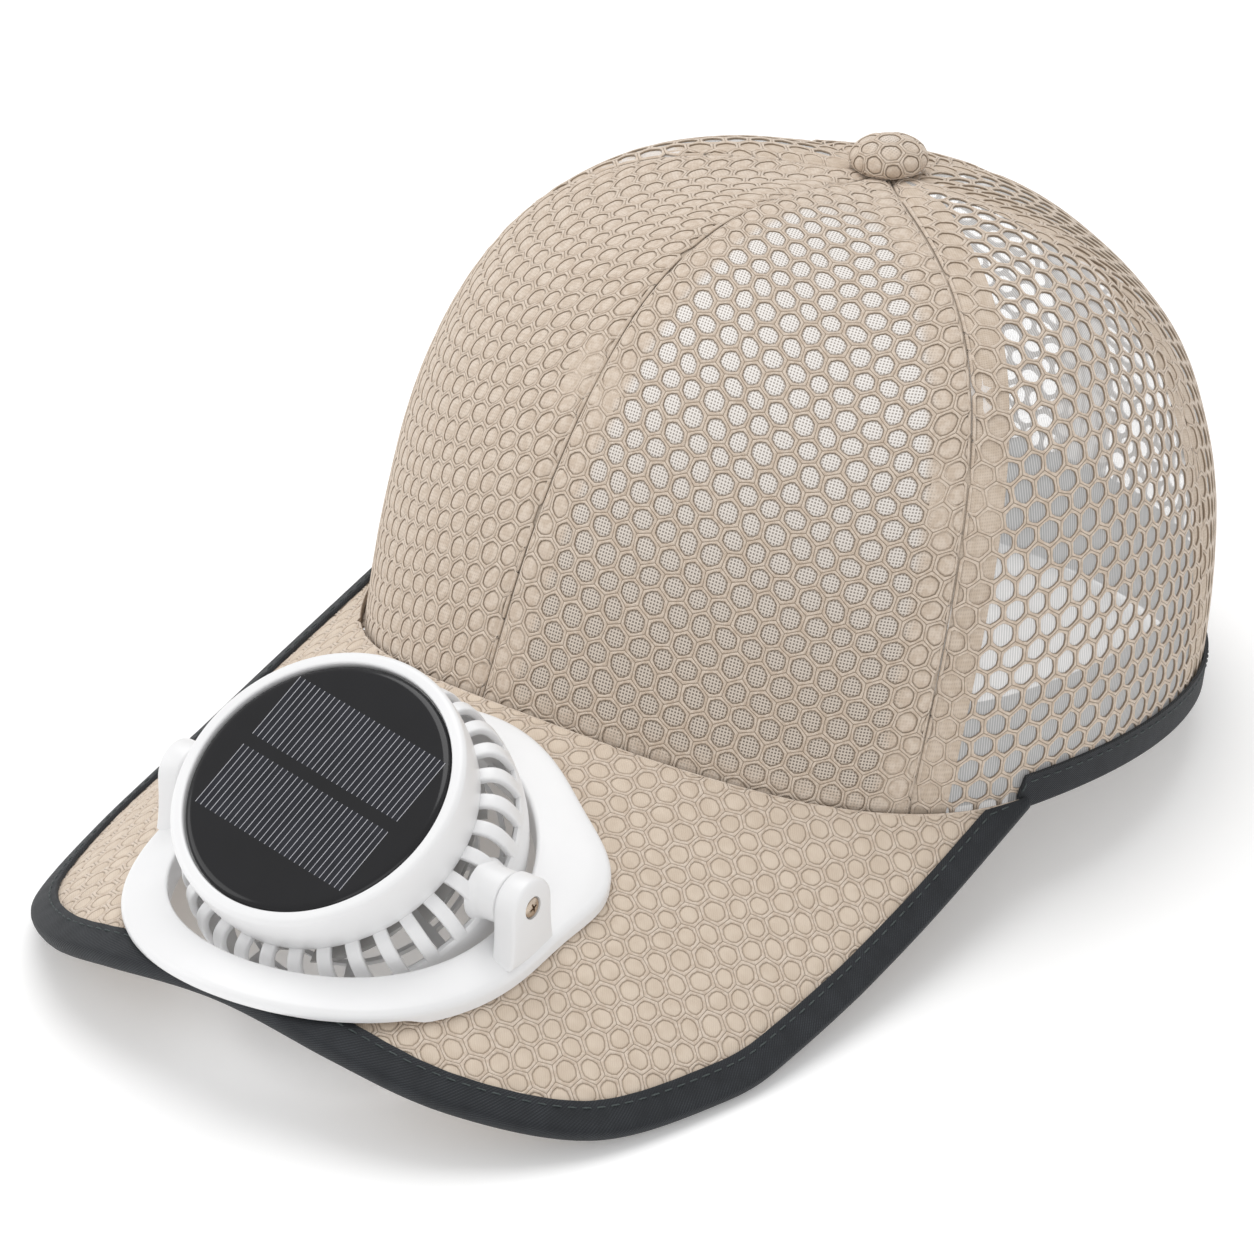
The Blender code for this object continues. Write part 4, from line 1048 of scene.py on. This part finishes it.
def build_visor(m):
    for side, word in ((1.0, "top"), (-1.0, "under")):
        cloth = VisorCloth(side)
        cells = lattice(cloth, CELL_PITCH, 0.0, cloth.left.max() + CELL_PITCH, 0.0, cloth.height)
        name = f"visor_{word}_net"
        net = net_piece(name, cloth, cells, 0.0, VISOR_SECTION, CELL_PITCH, VISOR_STRAND, 0.5 * MM)
        piece = new_object(name, net, m["yarn"], "cap")
        if word == "top":
            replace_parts(piece, "visor")
        name = f"visor_{word}_backing"
        fill = fill_piece(name, cloth, cells, 0.0, 0.05 * MM, None, CELL_PITCH, VISOR_STRAND)
        new_object(name, fill, m["visor_backing"], "cap")
    build_visor_board(m)


def build_visor_board(m):
    """The stiff board inside the visor, which closes the gaps between the cells."""
    columns = 120
    rows = 24
    s, along = grid(0.0, columns, rows)
    angle = (JOIN_ANGLE - radians(1.0)) * (2 * s - 1)
    scale = 1.0 + 0.8 * MM / CROWN_HALF_WIDTH
    inner_y = CROWN_Y - CROWN_HALF_LENGTH * scale * np.cos(angle)
    inner = np.stack([CROWN_HALF_WIDTH * scale * np.sin(angle), inner_y], -1)
    outer = visor_outline(0.008 + 0.984 * s)
    x, y = (inner + (outer - inner) * along[:, None]).T
    half = np.full(len(s), VISOR_THICKNESS / 2 - 0.45 * MM)
    points = np.concatenate([visor_point(x, y, half), visor_point(x, y, -half)])
    size = (rows + 1) * (columns + 1)
    top = np.array(loop_faces(rows + 1, columns + 1, closed_loop=False))
    faces = top.tolist() + (top[:, ::-1] + size).tolist()
    index = np.arange(size).reshape(rows + 1, columns + 1)
    border = np.concatenate([index[0], index[1:, -1], index[-1, -2::-1], index[-2:0:-1, 0]])
    faces += [(a, a + size, b + size, b) for a, b in zip(border.tolist(), np.roll(border, -1).tolist())]
    mesh = mesh_of("visor_board", points, faces, {"u": np.tile(x, 2), "v": np.tile(y, 2)})
    board = new_object("visor_board", mesh, m["tape"], "cap")
    points, faces = turned([(0.0, 0.03), (VISOR_HOLE, 0.03), (VISOR_HOLE, -0.03), (0.0, -0.03)], 120)
    cutter = bpy.data.objects.new("hole", mesh_of("hole", points, faces, weld=WELD, smooth=False))
    middle = visor_point(np.array([0.0]), np.array([FAN_Y]), np.zeros(1))[0]
    cutter.location = middle.tolist()
    cut_with(board, [cutter])


def cut_with(piece, cutters):
    """Cut scratch shapes out of the piece, and take them away again."""
    for cutter in cutters:
        bpy.context.scene.collection.objects.link(cutter)
        modifier = piece.modifiers.new("cut", "BOOLEAN")
        modifier.operation = "DIFFERENCE"
        modifier.solver = "EXACT"
        modifier.object = cutter
    bpy.context.view_layer.update()
    applied = bpy.data.meshes.new_from_object(piece.evaluated_get(bpy.context.evaluated_depsgraph_get()))
    piece.modifiers.clear()
    piece.data = applied
    for cutter in cutters:
        bpy.data.objects.remove(cutter)


def binding_width(x, y):
    across = np.abs(x) / VISOR_HALF_WIDTH
    width = BINDING_WIDTH_FRONT + (BINDING_WIDTH_SIDE - BINDING_WIDTH_FRONT) * smooth_step(across)
    crown = (np.hypot(x / CROWN_HALF_WIDTH, (y - CROWN_Y) / CROWN_HALF_LENGTH) - 1.0) * CROWN_HALF_WIDTH
    fan = np.hypot(x, y - FAN_Y) - VISOR_HOLE
    room = np.minimum(crown - 0.3 * MM, fan - 2 * GAP)
    return np.minimum(width, np.maximum(room, 0.8 * MM))


def tape_piece(name, rings, section, along, node, m):
    """A tape folded round an edge: one ring of points for each (across, height) place of its section."""
    size = len(section)
    points = np.stack(rings, 1).reshape(-1, 3)
    fields = {"u": np.repeat(along, size), "v": np.tile(run_length(np.array(section)), len(along))}
    mesh = mesh_of(name, points, tube_faces(len(along), size), fields)
    mesh.set_sharp_from_angle(angle=radians(60.0))
    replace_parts(new_object(name, mesh, m["twill"], "cap"), node)


def build_visor_binding(m):
    """Twill tape folded round the visor's edge, with its row of stitches."""
    count = 420
    t = np.linspace(0.001, 0.999, count)
    edge = visor_outline(t)
    inward = visor_inward(t)
    width = binding_width(edge[:, 0], edge[:, 1])
    inner = VISOR_THICKNESS / 2 + 0.15 * MM
    outer = BINDING_HALF - 0.05 * MM
    # Upper half of the section: inward as a share of the width, then as a length, and height
    by_width = [(1.0, inner), (1.0, outer - 0.15 * MM), (0.96, outer), (0.7, outer), (0.4, outer)]
    fold = [(-0.95 * MM * cos(a), outer * sin(a)) for a in np.linspace(radians(65), radians(-65), 7)]
    by_length = [(0.5 * MM, outer - 0.03 * MM), *fold, (0.5 * MM, -outer + 0.03 * MM)]
    places = [(share * width, height) for share, height in by_width]
    places += [(np.full(count, shift), height) for shift, height in by_length]
    places += [(share * width, -height) for share, height in by_width[::-1]]
    places += [(np.zeros(count), -inner), (np.zeros(count), inner)]
    along = run_length(edge)
    ripple = 0.05 * MM * np.sin(along * 900.0)
    rings = []
    for shift, height in places:
        plan = edge + inward * shift[:, None]
        wavy = np.sign(height) * ripple * (shift.mean() > MM)
        rings.append(visor_point(plan[:, 0], plan[:, 1], height + wavy))
    section = [(float(shift.mean()), height) for shift, height in places]
    tape_piece("visor_binding_tape", rings, section, along, "visor_binding", m)
    t = np.linspace(0.004, 0.996, 1400)
    line = visor_outline(t)
    line = line + visor_inward(t) * (binding_width(line[:, 0], line[:, 1]) * 0.74)[:, None]
    x, y = line.T
    for side, word in ((1.0, "top"), (-1.0, "under")):
        path = visor_point(x, y, np.full(len(x), side * outer))
        stitches(f"visor_stitches_{word}", path, visor_normal(x, y) * side, m["thread"])


RIM_START = JOIN_ANGLE - radians(1.0)


def rim_width(angle):
    """The rim's tape is narrower where it meets the visor."""
    from_end = np.minimum(angle - RIM_START, 2 * pi - RIM_START - angle)
    return np.minimum(BINDING_WIDTH_RIM, 2.5 * MM + from_end * 0.20)


def build_rim_binding(m):
    """Twill tape folded round the crown's lower edge, behind the visor."""
    count = 360
    angle = np.linspace(RIM_START, 2 * pi - RIM_START, count)
    wide = rim_width(angle)
    outer = BINDING_STANDOFF
    inner = -CROWN_WALL - BINDING_STANDOFF
    lining = -CROWN_WALL - 0.25 * MM
    # Section: up as a share of the width or as a length, and height from the crown's face
    fold = [(0.0, outer), (-outer * 0.55, outer * 0.75), (-outer * 0.9, 0.0), (-outer, -CROWN_WALL * 0.5)]
    fold += [(-outer * 0.9, -CROWN_WALL), (-outer * 0.55, inner + 0.2 * MM), (0.0, inner)]
    outside = [(1.0, 0.25 * MM), (0.99, outer), (0.6, outer), (0.3, outer)]
    inside = [(0.3, inner), (0.6, inner), (0.99, inner), (1.0, lining)]
    places = [(share * wide, out) for share, out in outside]
    places += [(np.full(count, up), out) for up, out in fold]
    places += [(share * wide, out) for share, out in inside]
    places += [(np.zeros(count), lining), (np.zeros(count), 0.25 * MM)]
    rings = [crown_point(angle, rise_for_length(angle, up), np.full(count, out)) for up, out in places]
    section = [(float(up.mean()), out) for up, out in places]
    tape_piece("rim_binding_tape", rings, section, angle * RIM_RADIUS, "rim_binding", m)
    line = np.linspace(RIM_START + 0.01, 2 * pi - RIM_START - 0.01, 1600)
    rise = rise_for_length(line, rim_width(line) * 0.78)
    for out, word in ((outer, "outside"), (inner, "inside")):
        path = crown_point(line, rise, np.full(len(line), out))
        up = normalised(crown_point(line, rise, np.full(len(line), out + MM)) - path) * np.sign(out)
        stitches(f"rim_stitches_{word}", path, up, m["thread"])


def stitches(name, path, up, material, length=2.1 * MM, gap=0.9 * MM, radius=0.17 * MM):
    """Short threads along a path, each sunk at both ends."""
    run = run_length(path)
    # Rows along a stitch: share of its length, lift and thickness as shares of its radius
    rows = [(0.0, -1.0, 0.5), (0.15, 0.25, 1.0), (0.5, 0.6, 1.0), (0.85, 0.25, 1.0), (1.0, -1.0, 0.5)]
    sides = 6

    def at(values, place):
        return np.array([np.interp(place, run, values[:, axis]) for axis in range(3)])
    parts = []
    for number in range(int(run[-1] / (length + gap))):
        points = []
        for share, lift, thick in rows:
            place = number * (length + gap) + share * length
            middle = at(path, place)
            out = at(up, place)
            across = normalised(np.cross(at(path, place + 0.2 * MM) - middle, out))
            for turn in np.arange(sides) * 2 * pi / sides:
                away = out * (sin(turn) * thick + lift) + across * cos(turn) * thick
                points.append(middle + away * radius)
        parts.append((points, tube_faces(len(rows), sides)))
    new_object(name, mesh_of(name, *joined(parts)), material, "cap")


# Fan

PLATE_OFFSET = BINDING_HALF + GAP
PLATE_TOP = visor_point(np.array([0.0]), np.array([FAN_Y]), np.array([PLATE_OFFSET + PLATE_THICKNESS]))[0, 2]
PIVOT = Vector((0.0, FAN_Y, PLATE_TOP + PIVOT_HEIGHT))
HEAD = Matrix.Translation(PIVOT) @ Matrix.Rotation(HEAD_TILT, 4, "X")


def plate_edge(angle):
    reach = np.full(len(angle), PLATE_RADIUS)
    for side in (-1.0, 1.0):
        away = (angle - side * PLATE_LOBE_ANGLE) / PLATE_LOBE_SPREAD
        reach = reach + PLATE_LOBE * np.exp(-away * away)
    return reach


def plate_point(angle, radius, offset):
    x = radius * np.sin(angle)
    y = FAN_Y - radius * np.cos(angle)
    return np.stack([x, y, SEAM_HEIGHT - visor_drop(x, y) + offset], -1)


def build_plate(m):
    """White flange on the visor, with its collar and a softly rounded edge."""
    count = 216
    angle = np.linspace(-pi, pi, count, endpoint=False)
    edge = plate_edge(angle)
    x = edge * np.sin(angle)
    y = FAN_Y - edge * np.cos(angle)
    slope = 1.0 / np.maximum(visor_normal(x, y)[:, 2], 0.5)
    line = visor_outline(np.linspace(0.0, 1.0, 200))
    near = np.min(np.hypot(x[:, None] - line[None, :, 0], y[:, None] - line[None, :, 1]), 1)
    over = smooth_step((BINDING_WIDTH_FRONT + 0.006 - near) / 0.003)
    low = ((VISOR_THICKNESS / 2 + GAP) * (1 - over) + PLATE_OFFSET * over) * slope
    high = PLATE_OFFSET * slope + PLATE_THICKNESS
    top = np.full(count, PLATE_OFFSET + PLATE_THICKNESS)
    foot = np.full(count, -VISOR_THICKNESS / 2 - COLLAR_DROP)
    inside = np.full(count, PLATE_OPENING)
    lip = 0.9 * MM
    round_off = 1.2 * MM
    rings = [(inside, foot), (inside, top - lip)]
    for a in np.radians((30, 60, 90)):
        rings.append((inside + lip * (1 - cos(a)), top - lip * (1 - sin(a))))
    for share in (0.25, 0.5, 0.75):
        reach = PLATE_OPENING + lip + (edge - round_off - PLATE_OPENING - lip) * share
        rings.append((reach, top + (high - top) * smooth_step(share * 1.1)))
    for a in np.radians((90, 65, 40, 15, -10)):
        rings.append((edge - round_off * (1 - cos(a)), high - round_off * (1 - sin(a))))
    rings += [(edge - 0.2 * MM, low + 0.3 * MM), (edge - 0.6 * MM, low)]
    rings += [(inside + COLLAR_WALL, np.minimum(low, PLATE_OFFSET)), (inside + COLLAR_WALL, foot)]
    points = np.stack([plate_point(angle, reach, height) for reach, height in rings], 1).reshape(-1, 3)
    mesh = mesh_of("fan_flange", points, loop_faces(count, len(rings), closed_rings=True))
    mesh.set_sharp_from_angle(angle=radians(50.0))
    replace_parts(new_object("fan_flange", mesh, m["white"], "cap"), "fan_plate")
    for side, word in ((1.0, "left"), (-1.0, "right")):
        build_ear(m, side, word)
        build_screw(m, side, word)


def build_ear(m, side, word):
    """Upright ear with rounded edges, widening into the flange, with a seat for the screw's head."""
    drop = PIVOT_HEIGHT + 0.010
    flare = EAR_BASE / 2 + 0.6 * MM - EAR_RADIUS
    outline = arc((0.0, 0.0), EAR_RADIUS, 0.0, pi, 25)
    outline += [(-EAR_RADIUS - flare * share ** 3, -drop * share) for share in (0.35, 0.6, 0.8, 1.0)]
    outline += [(EAR_RADIUS + flare * share ** 3, -drop * share) for share in (1.0, 0.8, 0.6, 0.35)]
    bm = bmesh.new()
    x = side * (EAR_OUTER - EAR_THICKNESS)
    face = bm.faces.new([bm.verts.new((x, PIVOT.y + y, PIVOT.z + z)) for y, z in outline])
    swept = bmesh.ops.extrude_face_region(bm, geom=[face])
    moved = [item for item in swept["geom"] if isinstance(item, bmesh.types.BMVert)]
    bmesh.ops.translate(bm, verts=moved, vec=(side * EAR_THICKNESS, 0.0, 0.0))
    bmesh.ops.recalc_face_normals(bm, faces=bm.faces)
    rim = [edge for edge in bm.edges if abs(edge.verts[0].co.x - edge.verts[1].co.x) < 1e-7]
    bmesh.ops.bevel(bm, geom=rim, offset=0.8 * MM, segments=4, profile=0.5, affect="EDGES",
                    clamp_overlap=True)
    mesh = bpy.data.meshes.new(f"ear_{word}")
    bm.to_mesh(mesh)
    bm.free()
    ear = new_object(f"ear_{word}", mesh, m["white"], "cap")
    radius = SCREW_HEAD_RADIUS + 0.25 * MM
    points, faces = turned([(0.0, 2.0 * MM), (radius, 2.0 * MM), (radius, -0.9 * MM), (0.0, -0.9 * MM)], 48)
    seat = bpy.data.objects.new("seat", mesh_of("seat", points, faces, weld=WELD, smooth=False))
    seat.matrix_world = screw_place(side, EAR_OUTER)
    cut_with(ear, [seat])
    ear.data.shade_smooth()
    ear.data.set_sharp_from_angle(angle=radians(32.0))


def screw_place(side, reach):
    """The screw's axis as a Z axis that points outward, at a reach from the middle."""
    place = Matrix.Translation(PIVOT + Vector((side * reach, 0.0, 0.0)))
    return place @ Matrix.Rotation(side * pi / 2, 4, "Y")


def build_screw(m, side, word):
    """Cross-head screw: a low domed head with its recess, and the shank into the boss."""
    radius = SCREW_HEAD_RADIUS
    profile = [(0.0, 0.55 * MM)]
    profile += [(radius * sin(a), 0.10 * MM + 0.45 * MM * cos(a)) for a in np.linspace(0.15, pi / 2, 9)]
    profile += [(radius, -0.35 * MM), (1.2 * MM, -0.35 * MM), (1.2 * MM, -8.6 * MM), (0.0, -9.2 * MM)]
    points, faces = turned(profile, 56)
    mesh = mesh_of(f"screw_{word}", points, faces, weld=WELD)
    place = screw_place(side, EAR_OUTER - 0.45 * MM)
    mesh.transform(place)
    screw = new_object(f"screw_{word}", mesh, m["screw"], "cap")
    cutters = []
    for number, turn in enumerate((0.35, 0.35 + pi / 2)):
        bm = bmesh.new()
        bmesh.ops.create_cube(bm, size=1.0)
        for vert in bm.verts:
            taper = 1.0 if vert.co.z > 0 else 0.72
            x, y, z = vert.co
            vert.co = Vector((x * 2.4 * MM * taper, y * 0.52 * MM * taper, z * 1.2 * MM + 0.55 * MM))
        blade = bpy.data.meshes.new("slot")
        bm.to_mesh(blade)
        bm.free()
        cutter = bpy.data.objects.new(f"slot_{number}", blade)
        cutter.matrix_world = place @ Matrix.Rotation(turn, 4, "Z")
        cutters.append(cutter)
    cut_with(screw, cutters)
    screw.data.shade_smooth()
    screw.data.set_sharp_from_angle(angle=radians(35.0))
    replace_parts(screw, f"pivot_screw_{word}")


def head_object(name, points, faces, material, slot, body="fan_head", sharp=40.0, weld=0.004 * MM):
    mesh = mesh_of(name, points, faces, weld=weld)
    mesh.transform(HEAD)
    mesh.set_sharp_from_angle(angle=radians(sharp))
    return new_object(name, mesh, material, body)


def build_housing(m):
    """Drum, curved slats, the round ring below them, the guard and the two bosses."""
    rim_in = SOLAR_RADIUS + GAP
    under = DRUM_TOP - SOLAR_THICKNESS - GAP - DRUM_WALL
    profile = [(0.0, under + DRUM_WALL), (rim_in, under + DRUM_WALL), (rim_in, DRUM_TOP - 0.5 * MM)]
    profile += arc((rim_in + 0.5 * MM, DRUM_TOP - 0.5 * MM), 0.5 * MM, pi, pi / 2, 5)
    profile += arc((DRUM_RADIUS - 1.3 * MM, DRUM_TOP - 1.3 * MM), 1.3 * MM, pi / 2, 0.0, 8)
    profile += [(DRUM_RADIUS + 0.05 * MM, 0.0155), (DRUM_RADIUS, 0.0135), (DRUM_RADIUS - 0.25 * MM, 0.0112)]
    profile += [(DRUM_FOOT_RADIUS + 0.40 * MM, 0.0090), (DRUM_FOOT_RADIUS + 0.05 * MM, DRUM_FOOT + 0.4 * MM)]
    profile += [(DRUM_FOOT_RADIUS - 0.3 * MM, DRUM_FOOT), (DRUM_FOOT_RADIUS - DRUM_WALL, DRUM_FOOT)]
    profile += [(DRUM_RADIUS - DRUM_WALL * 1.6, under), (0.0095, under), (0.0095, 0.0066), (0.0010, 0.0066)]
    profile += [(0.0010, HUB_FOOT), (0.0, HUB_FOOT)]
    drum = head_object("fan_drum", *turned(profile, 160), m["white"], "white_plastic")
    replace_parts(drum, "fan_housing")

    upper = asin(LOWER_RING_TOP / HEAD_RADIUS) - 0.02
    lower = asin(LOWER_RING_FOOT / HEAD_RADIUS)
    ring_in = HEAD_RADIUS - LOWER_RING_WALL
    ring = arc((0.0, 0.0), HEAD_RADIUS, upper, lower, 14) + arc((0.0, 0.0), ring_in, lower, upper, 8)
    ring += [(HEAD_RADIUS - LOWER_RING_WALL * share, LOWER_RING_TOP) for share in (0.7, 0.25)]
    head_object("fan_ring", *turned(ring + ring[:1], 160), m["white"], "white_plastic")
    build_slats(m)
    build_guard(m, ring_in, lower)

    boss_end = EAR_OUTER - EAR_THICKNESS - GAP
    start = ring_in - 0.2 * MM
    profile = [(0.0, start), (BOSS_RADIUS + 0.9 * MM, start), (BOSS_RADIUS + 0.3 * MM, start + 1.6 * MM)]
    profile += [(BOSS_RADIUS, start + 2.4 * MM), (BOSS_RADIUS, boss_end - 0.6 * MM)]
    profile += arc((BOSS_RADIUS - 0.6 * MM, boss_end - 0.6 * MM), 0.6 * MM, 0.2, pi / 2, 5)
    profile += [(0.0, boss_end)]
    for side, word in ((1.0, "left"), (-1.0, "right")):
        points, faces = turned(profile, 64)
        points = np.stack([points[:, 2] * side, points[:, 1], -points[:, 0] * side], -1)
        head_object(f"fan_boss_{word}", points, faces, m["white"], "white_plastic")


def beside(radius, across, turn):
    """A place at a radius and a distance to its left, turned round the middle."""
    return radius * cos(turn) - across * sin(turn), radius * sin(turn) + across * cos(turn)


def build_slats(m):
    """Slats from the drum out over the shoulder to the ring, each a rounded bar along a curve."""
    path = through_rows(np.array(SLAT_PATH) * MM, np.linspace(0.0, 1.0, 15))
    run = normalised(np.gradient(path, axis=0))
    out = np.stack([-run[:, 1], run[:, 0]], -1)
    corner = 0.45 * MM
    half_w = SLAT_WIDTH / 2 - corner
    half_t = SLAT_THICKNESS / 2 - corner
    section = []
    for x, y, start in ((half_w, half_t, 0.0), (-half_w, half_t, pi / 2), (-half_w, -half_t, pi),
                        (half_w, -half_t, 1.5 * pi)):
        section += arc((x, y), corner, start, start + pi / 2, 4)
    parts = []
    for number in range(SLAT_COUNT):
        turn = 2 * pi * (number + 0.5) / SLAT_COUNT
        points = []
        for (r, h), (nr, nh) in zip(path, out):
            for w, d in section:
                radius = r + nr * d
                points.append((*beside(radius, w, turn), h + nh * d))
        parts.append((points, tube_faces(len(path), len(section))))
    head_object("fan_slats", *joined(parts), m["white"], "white_plastic", weld=0.0, sharp=50.0)


def build_guard(m, ring_in, lower):
    """The guard under the impeller: a middle, three rings and eight bars."""
    foot = ring_in * sin(lower)
    reach = ring_in * cos(lower) + 0.6 * MM
    high = foot + 1.4 * MM
    middle = [(0.0, high), (0.0087, high), (0.0090, foot + 1.1 * MM), (0.0090, foot + 0.2 * MM)]
    parts = [turned(middle + [(0.0088, foot), (0.0, foot)], 64)]
    for radius in (0.0150, 0.0210, 0.0265):
        wide = radius + 0.9 * MM
        low = foot + 0.1 * MM
        top = foot + 1.3 * MM
        parts.append(turned([(radius, top), (wide, top), (wide, low), (radius, low), (radius, top)], 96))
    for number in range(8):
        turn = 2 * pi * (number + 0.5) / 8
        points = []
        for r in (0.0080, reach):
            for w, h in ((-MM, foot), (MM, foot), (MM, high), (-MM, high)):
                points.append((*beside(r, w, turn), h))
        parts.append((points, tube_faces(2, 4)))
    head_object("fan_guard", *joined(parts), m["white"], "white_plastic")


def build_solar_panel(m):
    """Glossy black disc with a rounded edge, and the two rows of cells under its surface."""
    top = DRUM_TOP - GAP
    low = DRUM_TOP - SOLAR_THICKNESS
    profile = [(0.0, top), (0.0240, top)]
    for a in np.linspace(0.0, pi / 2, 10):
        profile.append((SOLAR_RADIUS - 1.6 * MM * (1 - sin(a)), top - 1.1 * MM * (1 - cos(a))))
    profile += [(SOLAR_RADIUS, low), (0.0, low)]
    disc = head_object("solar_disc", *turned(profile, 160), m["solar"], "solar_glass", sharp=60.0)
    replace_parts(disc, "solar_panel")
    cells = []
    lines = []
    left = -CELL_ROW_WIDTH / 2
    for row in (1.0, -1.0):
        middle = CELLS_MIDDLE_Y + row * (CELL_ROW_DEPTH + CELL_ROW_GAP) / 2
        low = middle - CELL_ROW_DEPTH / 2
        high = middle + CELL_ROW_DEPTH / 2
        cells.append((left, low, -left, high))
        for number in range(CELL_LINES):
            x = left + CELL_ROW_WIDTH * number / (CELL_LINES - 1)
            lines.append((x - CELL_LINE_WIDTH / 2, low, x + CELL_LINE_WIDTH / 2, high))
    turn = Matrix.Rotation(CELLS_TURN, 3, "Z")
    for name, boxes, high, material in (
        ("solar_cells", cells, top + 0.01 * MM, m["cell"]),
        ("solar_lines", lines, top + 0.035 * MM, m["line"]),
    ):
        parts = []
        for x0, y0, x1, y1 in boxes:
            corners = ((x0, y0), (x1, y0), (x1, y1), (x0, y1))
            points = [turn @ Vector((x, y, z)) for z in (high - 0.02 * MM, high) for x, y in corners]
            parts.append((points, tube_faces(2, 4)))
        head_object(name, *joined(parts), material, "solar_glass", weld=0.0, sharp=30.0)


def build_impeller(m):
    """Hub with a rounded top and seven broad pitched blades."""
    bore = 1.3 * MM
    hub = [(bore, HUB_TOP), (HUB_RADIUS - 0.8 * MM, HUB_TOP)]
    hub += arc((HUB_RADIUS - 0.8 * MM, HUB_TOP - 0.8 * MM), 0.8 * MM, pi / 2, 0.0, 6)
    hub += [(HUB_RADIUS, HUB_FOOT), (bore, HUB_FOOT), (bore, HUB_TOP)]
    parts = [turned(hub, 72)]
    middle = (HUB_TOP + HUB_FOOT) / 2
    root = HUB_RADIUS * 0.9
    rings = 12
    across = np.linspace(-0.5, 0.5, 13)
    thin = 1.2 * MM * (0.25 + 0.75 * np.maximum(1.0 - (2 * across) ** 4, 0.0)) / 2
    faces = tube_faces(rings + 1, 2 * len(across))
    del faces[-2]       # the root's end lies inside the hub
    for number in range(BLADE_COUNT):
        points = []
        for share in np.linspace(0.0, 1.0, rings + 1):
            radius = root + (BLADE_TIP - root) * share
            angle = 2 * pi * number / BLADE_COUNT + BLADE_CHORD * (1.0 + 0.12 * share) * across
            height = middle + BLADE_RISE * across * (1.0 - 0.35 * share) + 0.5 * MM * (0.25 - across * across)
            plan = [radius * np.cos(angle), radius * np.sin(angle)]
            points.extend(np.stack([*plan, height + thin], -1))
            points.extend(np.stack([*plan, height - thin], -1)[::-1])
        parts.append((points, faces))
    wheel = head_object("fan_wheel", *joined(parts), m["impeller"], "impeller_plastic", body="impeller")
    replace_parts(wheel, "impeller")


# Floor, light and camera

def build_stage():
    points = [(x * FLOOR_SIZE, y * FLOOR_SIZE, -FLOOR_GAP) for x, y in ((-1, -1), (1, -1), (1, 1), (-1, 1))]
    mesh = mesh_of("floor", points, [(0, 1, 2, 3)], smooth=False)
    floor = bpy.data.objects.new("floor", mesh)
    bpy.context.scene.collection.objects.link(floor)
    n = Nodes("floor_white", 0.9)
    n.shader.inputs["Base Color"].default_value = (0.94, 0.94, 0.94, 1.0)
    n.shader.inputs["Emission Color"].default_value = (1.0, 1.0, 1.0, 1.0)
    n.shader.inputs["Emission Strength"].default_value = 0.17
    mesh.materials.append(n.material)
    world = bpy.data.worlds.new("studio")
    bpy.context.scene.world = world
    world.use_nodes = True
    background = world.node_tree.nodes["Background"]
    background.inputs["Color"].default_value = (1.0, 1.0, 1.0, 1.0)
    background.inputs["Strength"].default_value = WORLD_STRENGTH
    for name, place, size, power in LIGHTS:
        lamp = bpy.data.lights.new(name, "AREA")
        lamp.shape = "DISK"
        lamp.size = size
        lamp.energy = power
        light = bpy.data.objects.new(name, lamp)
        bpy.context.scene.collection.objects.link(light)
        light.location = place
        aim = Vector((0.0, 0.0, 0.05)) - Vector(place)
        light.rotation_euler = aim.to_track_quat("-Z", "Y").to_euler()


def build_camera():
    back = Vector((
        cos(CAMERA_ELEVATION) * sin(CAMERA_AZIMUTH),
        -cos(CAMERA_ELEVATION) * cos(CAMERA_AZIMUTH),
        sin(CAMERA_ELEVATION),
    ))
    right = Vector((cos(CAMERA_AZIMUTH), sin(CAMERA_AZIMUTH), 0.0))
    up = back.cross(right)
    data = bpy.data.cameras.new("camera")
    data.sensor_width = 36.0
    data.lens = CAMERA_LENS
    data.clip_start = 0.01
    camera = bpy.data.objects.new("camera", data)
    bpy.context.scene.collection.objects.link(camera)
    place = Vector(CAMERA_PLACE) + Vector((0.0, CROWN_Y, 0.0))
    frame_axes = Matrix((right, up, back)).transposed().to_4x4()
    camera.matrix_world = Matrix.Translation(place) @ frame_axes
    bpy.context.scene.camera = camera


def make_materials():
    materials = {
        "yarn": net_material(),
        "backing": backing_material(),
        "visor_backing": visor_backing_material(),
        "veil": veil_material(),
        "tape": tape_material(),
        "twill": twill_material("binding_twill", (0.009, 0.011, 0.014), (0.036, 0.041, 0.049)),
        "sweatband": twill_material("sweatband_weave", (0.060, 0.054, 0.048), (0.135, 0.122, 0.108)),
        "solar": solar_material(),
    }
    for key, *values in PLAIN_MATERIALS:
        materials[key] = plain_material(*values)
    return materials


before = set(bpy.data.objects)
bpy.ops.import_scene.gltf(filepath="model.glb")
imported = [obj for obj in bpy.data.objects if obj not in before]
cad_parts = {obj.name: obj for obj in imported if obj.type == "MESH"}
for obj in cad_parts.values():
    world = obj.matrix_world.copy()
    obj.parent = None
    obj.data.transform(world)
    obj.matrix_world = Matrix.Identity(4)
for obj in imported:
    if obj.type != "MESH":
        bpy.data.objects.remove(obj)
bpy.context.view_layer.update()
bpy.context.scene.view_settings.view_transform = "Standard"
build_camera()
build_stage()
MATERIALS = make_materials()
build_crown(MATERIALS)
build_button(MATERIALS)
build_sweatband(MATERIALS)
build_visor(MATERIALS)
build_visor_binding(MATERIALS)
build_rim_binding(MATERIALS)
build_plate(MATERIALS)
build_housing(MATERIALS)
build_solar_panel(MATERIALS)
build_impeller(MATERIALS)
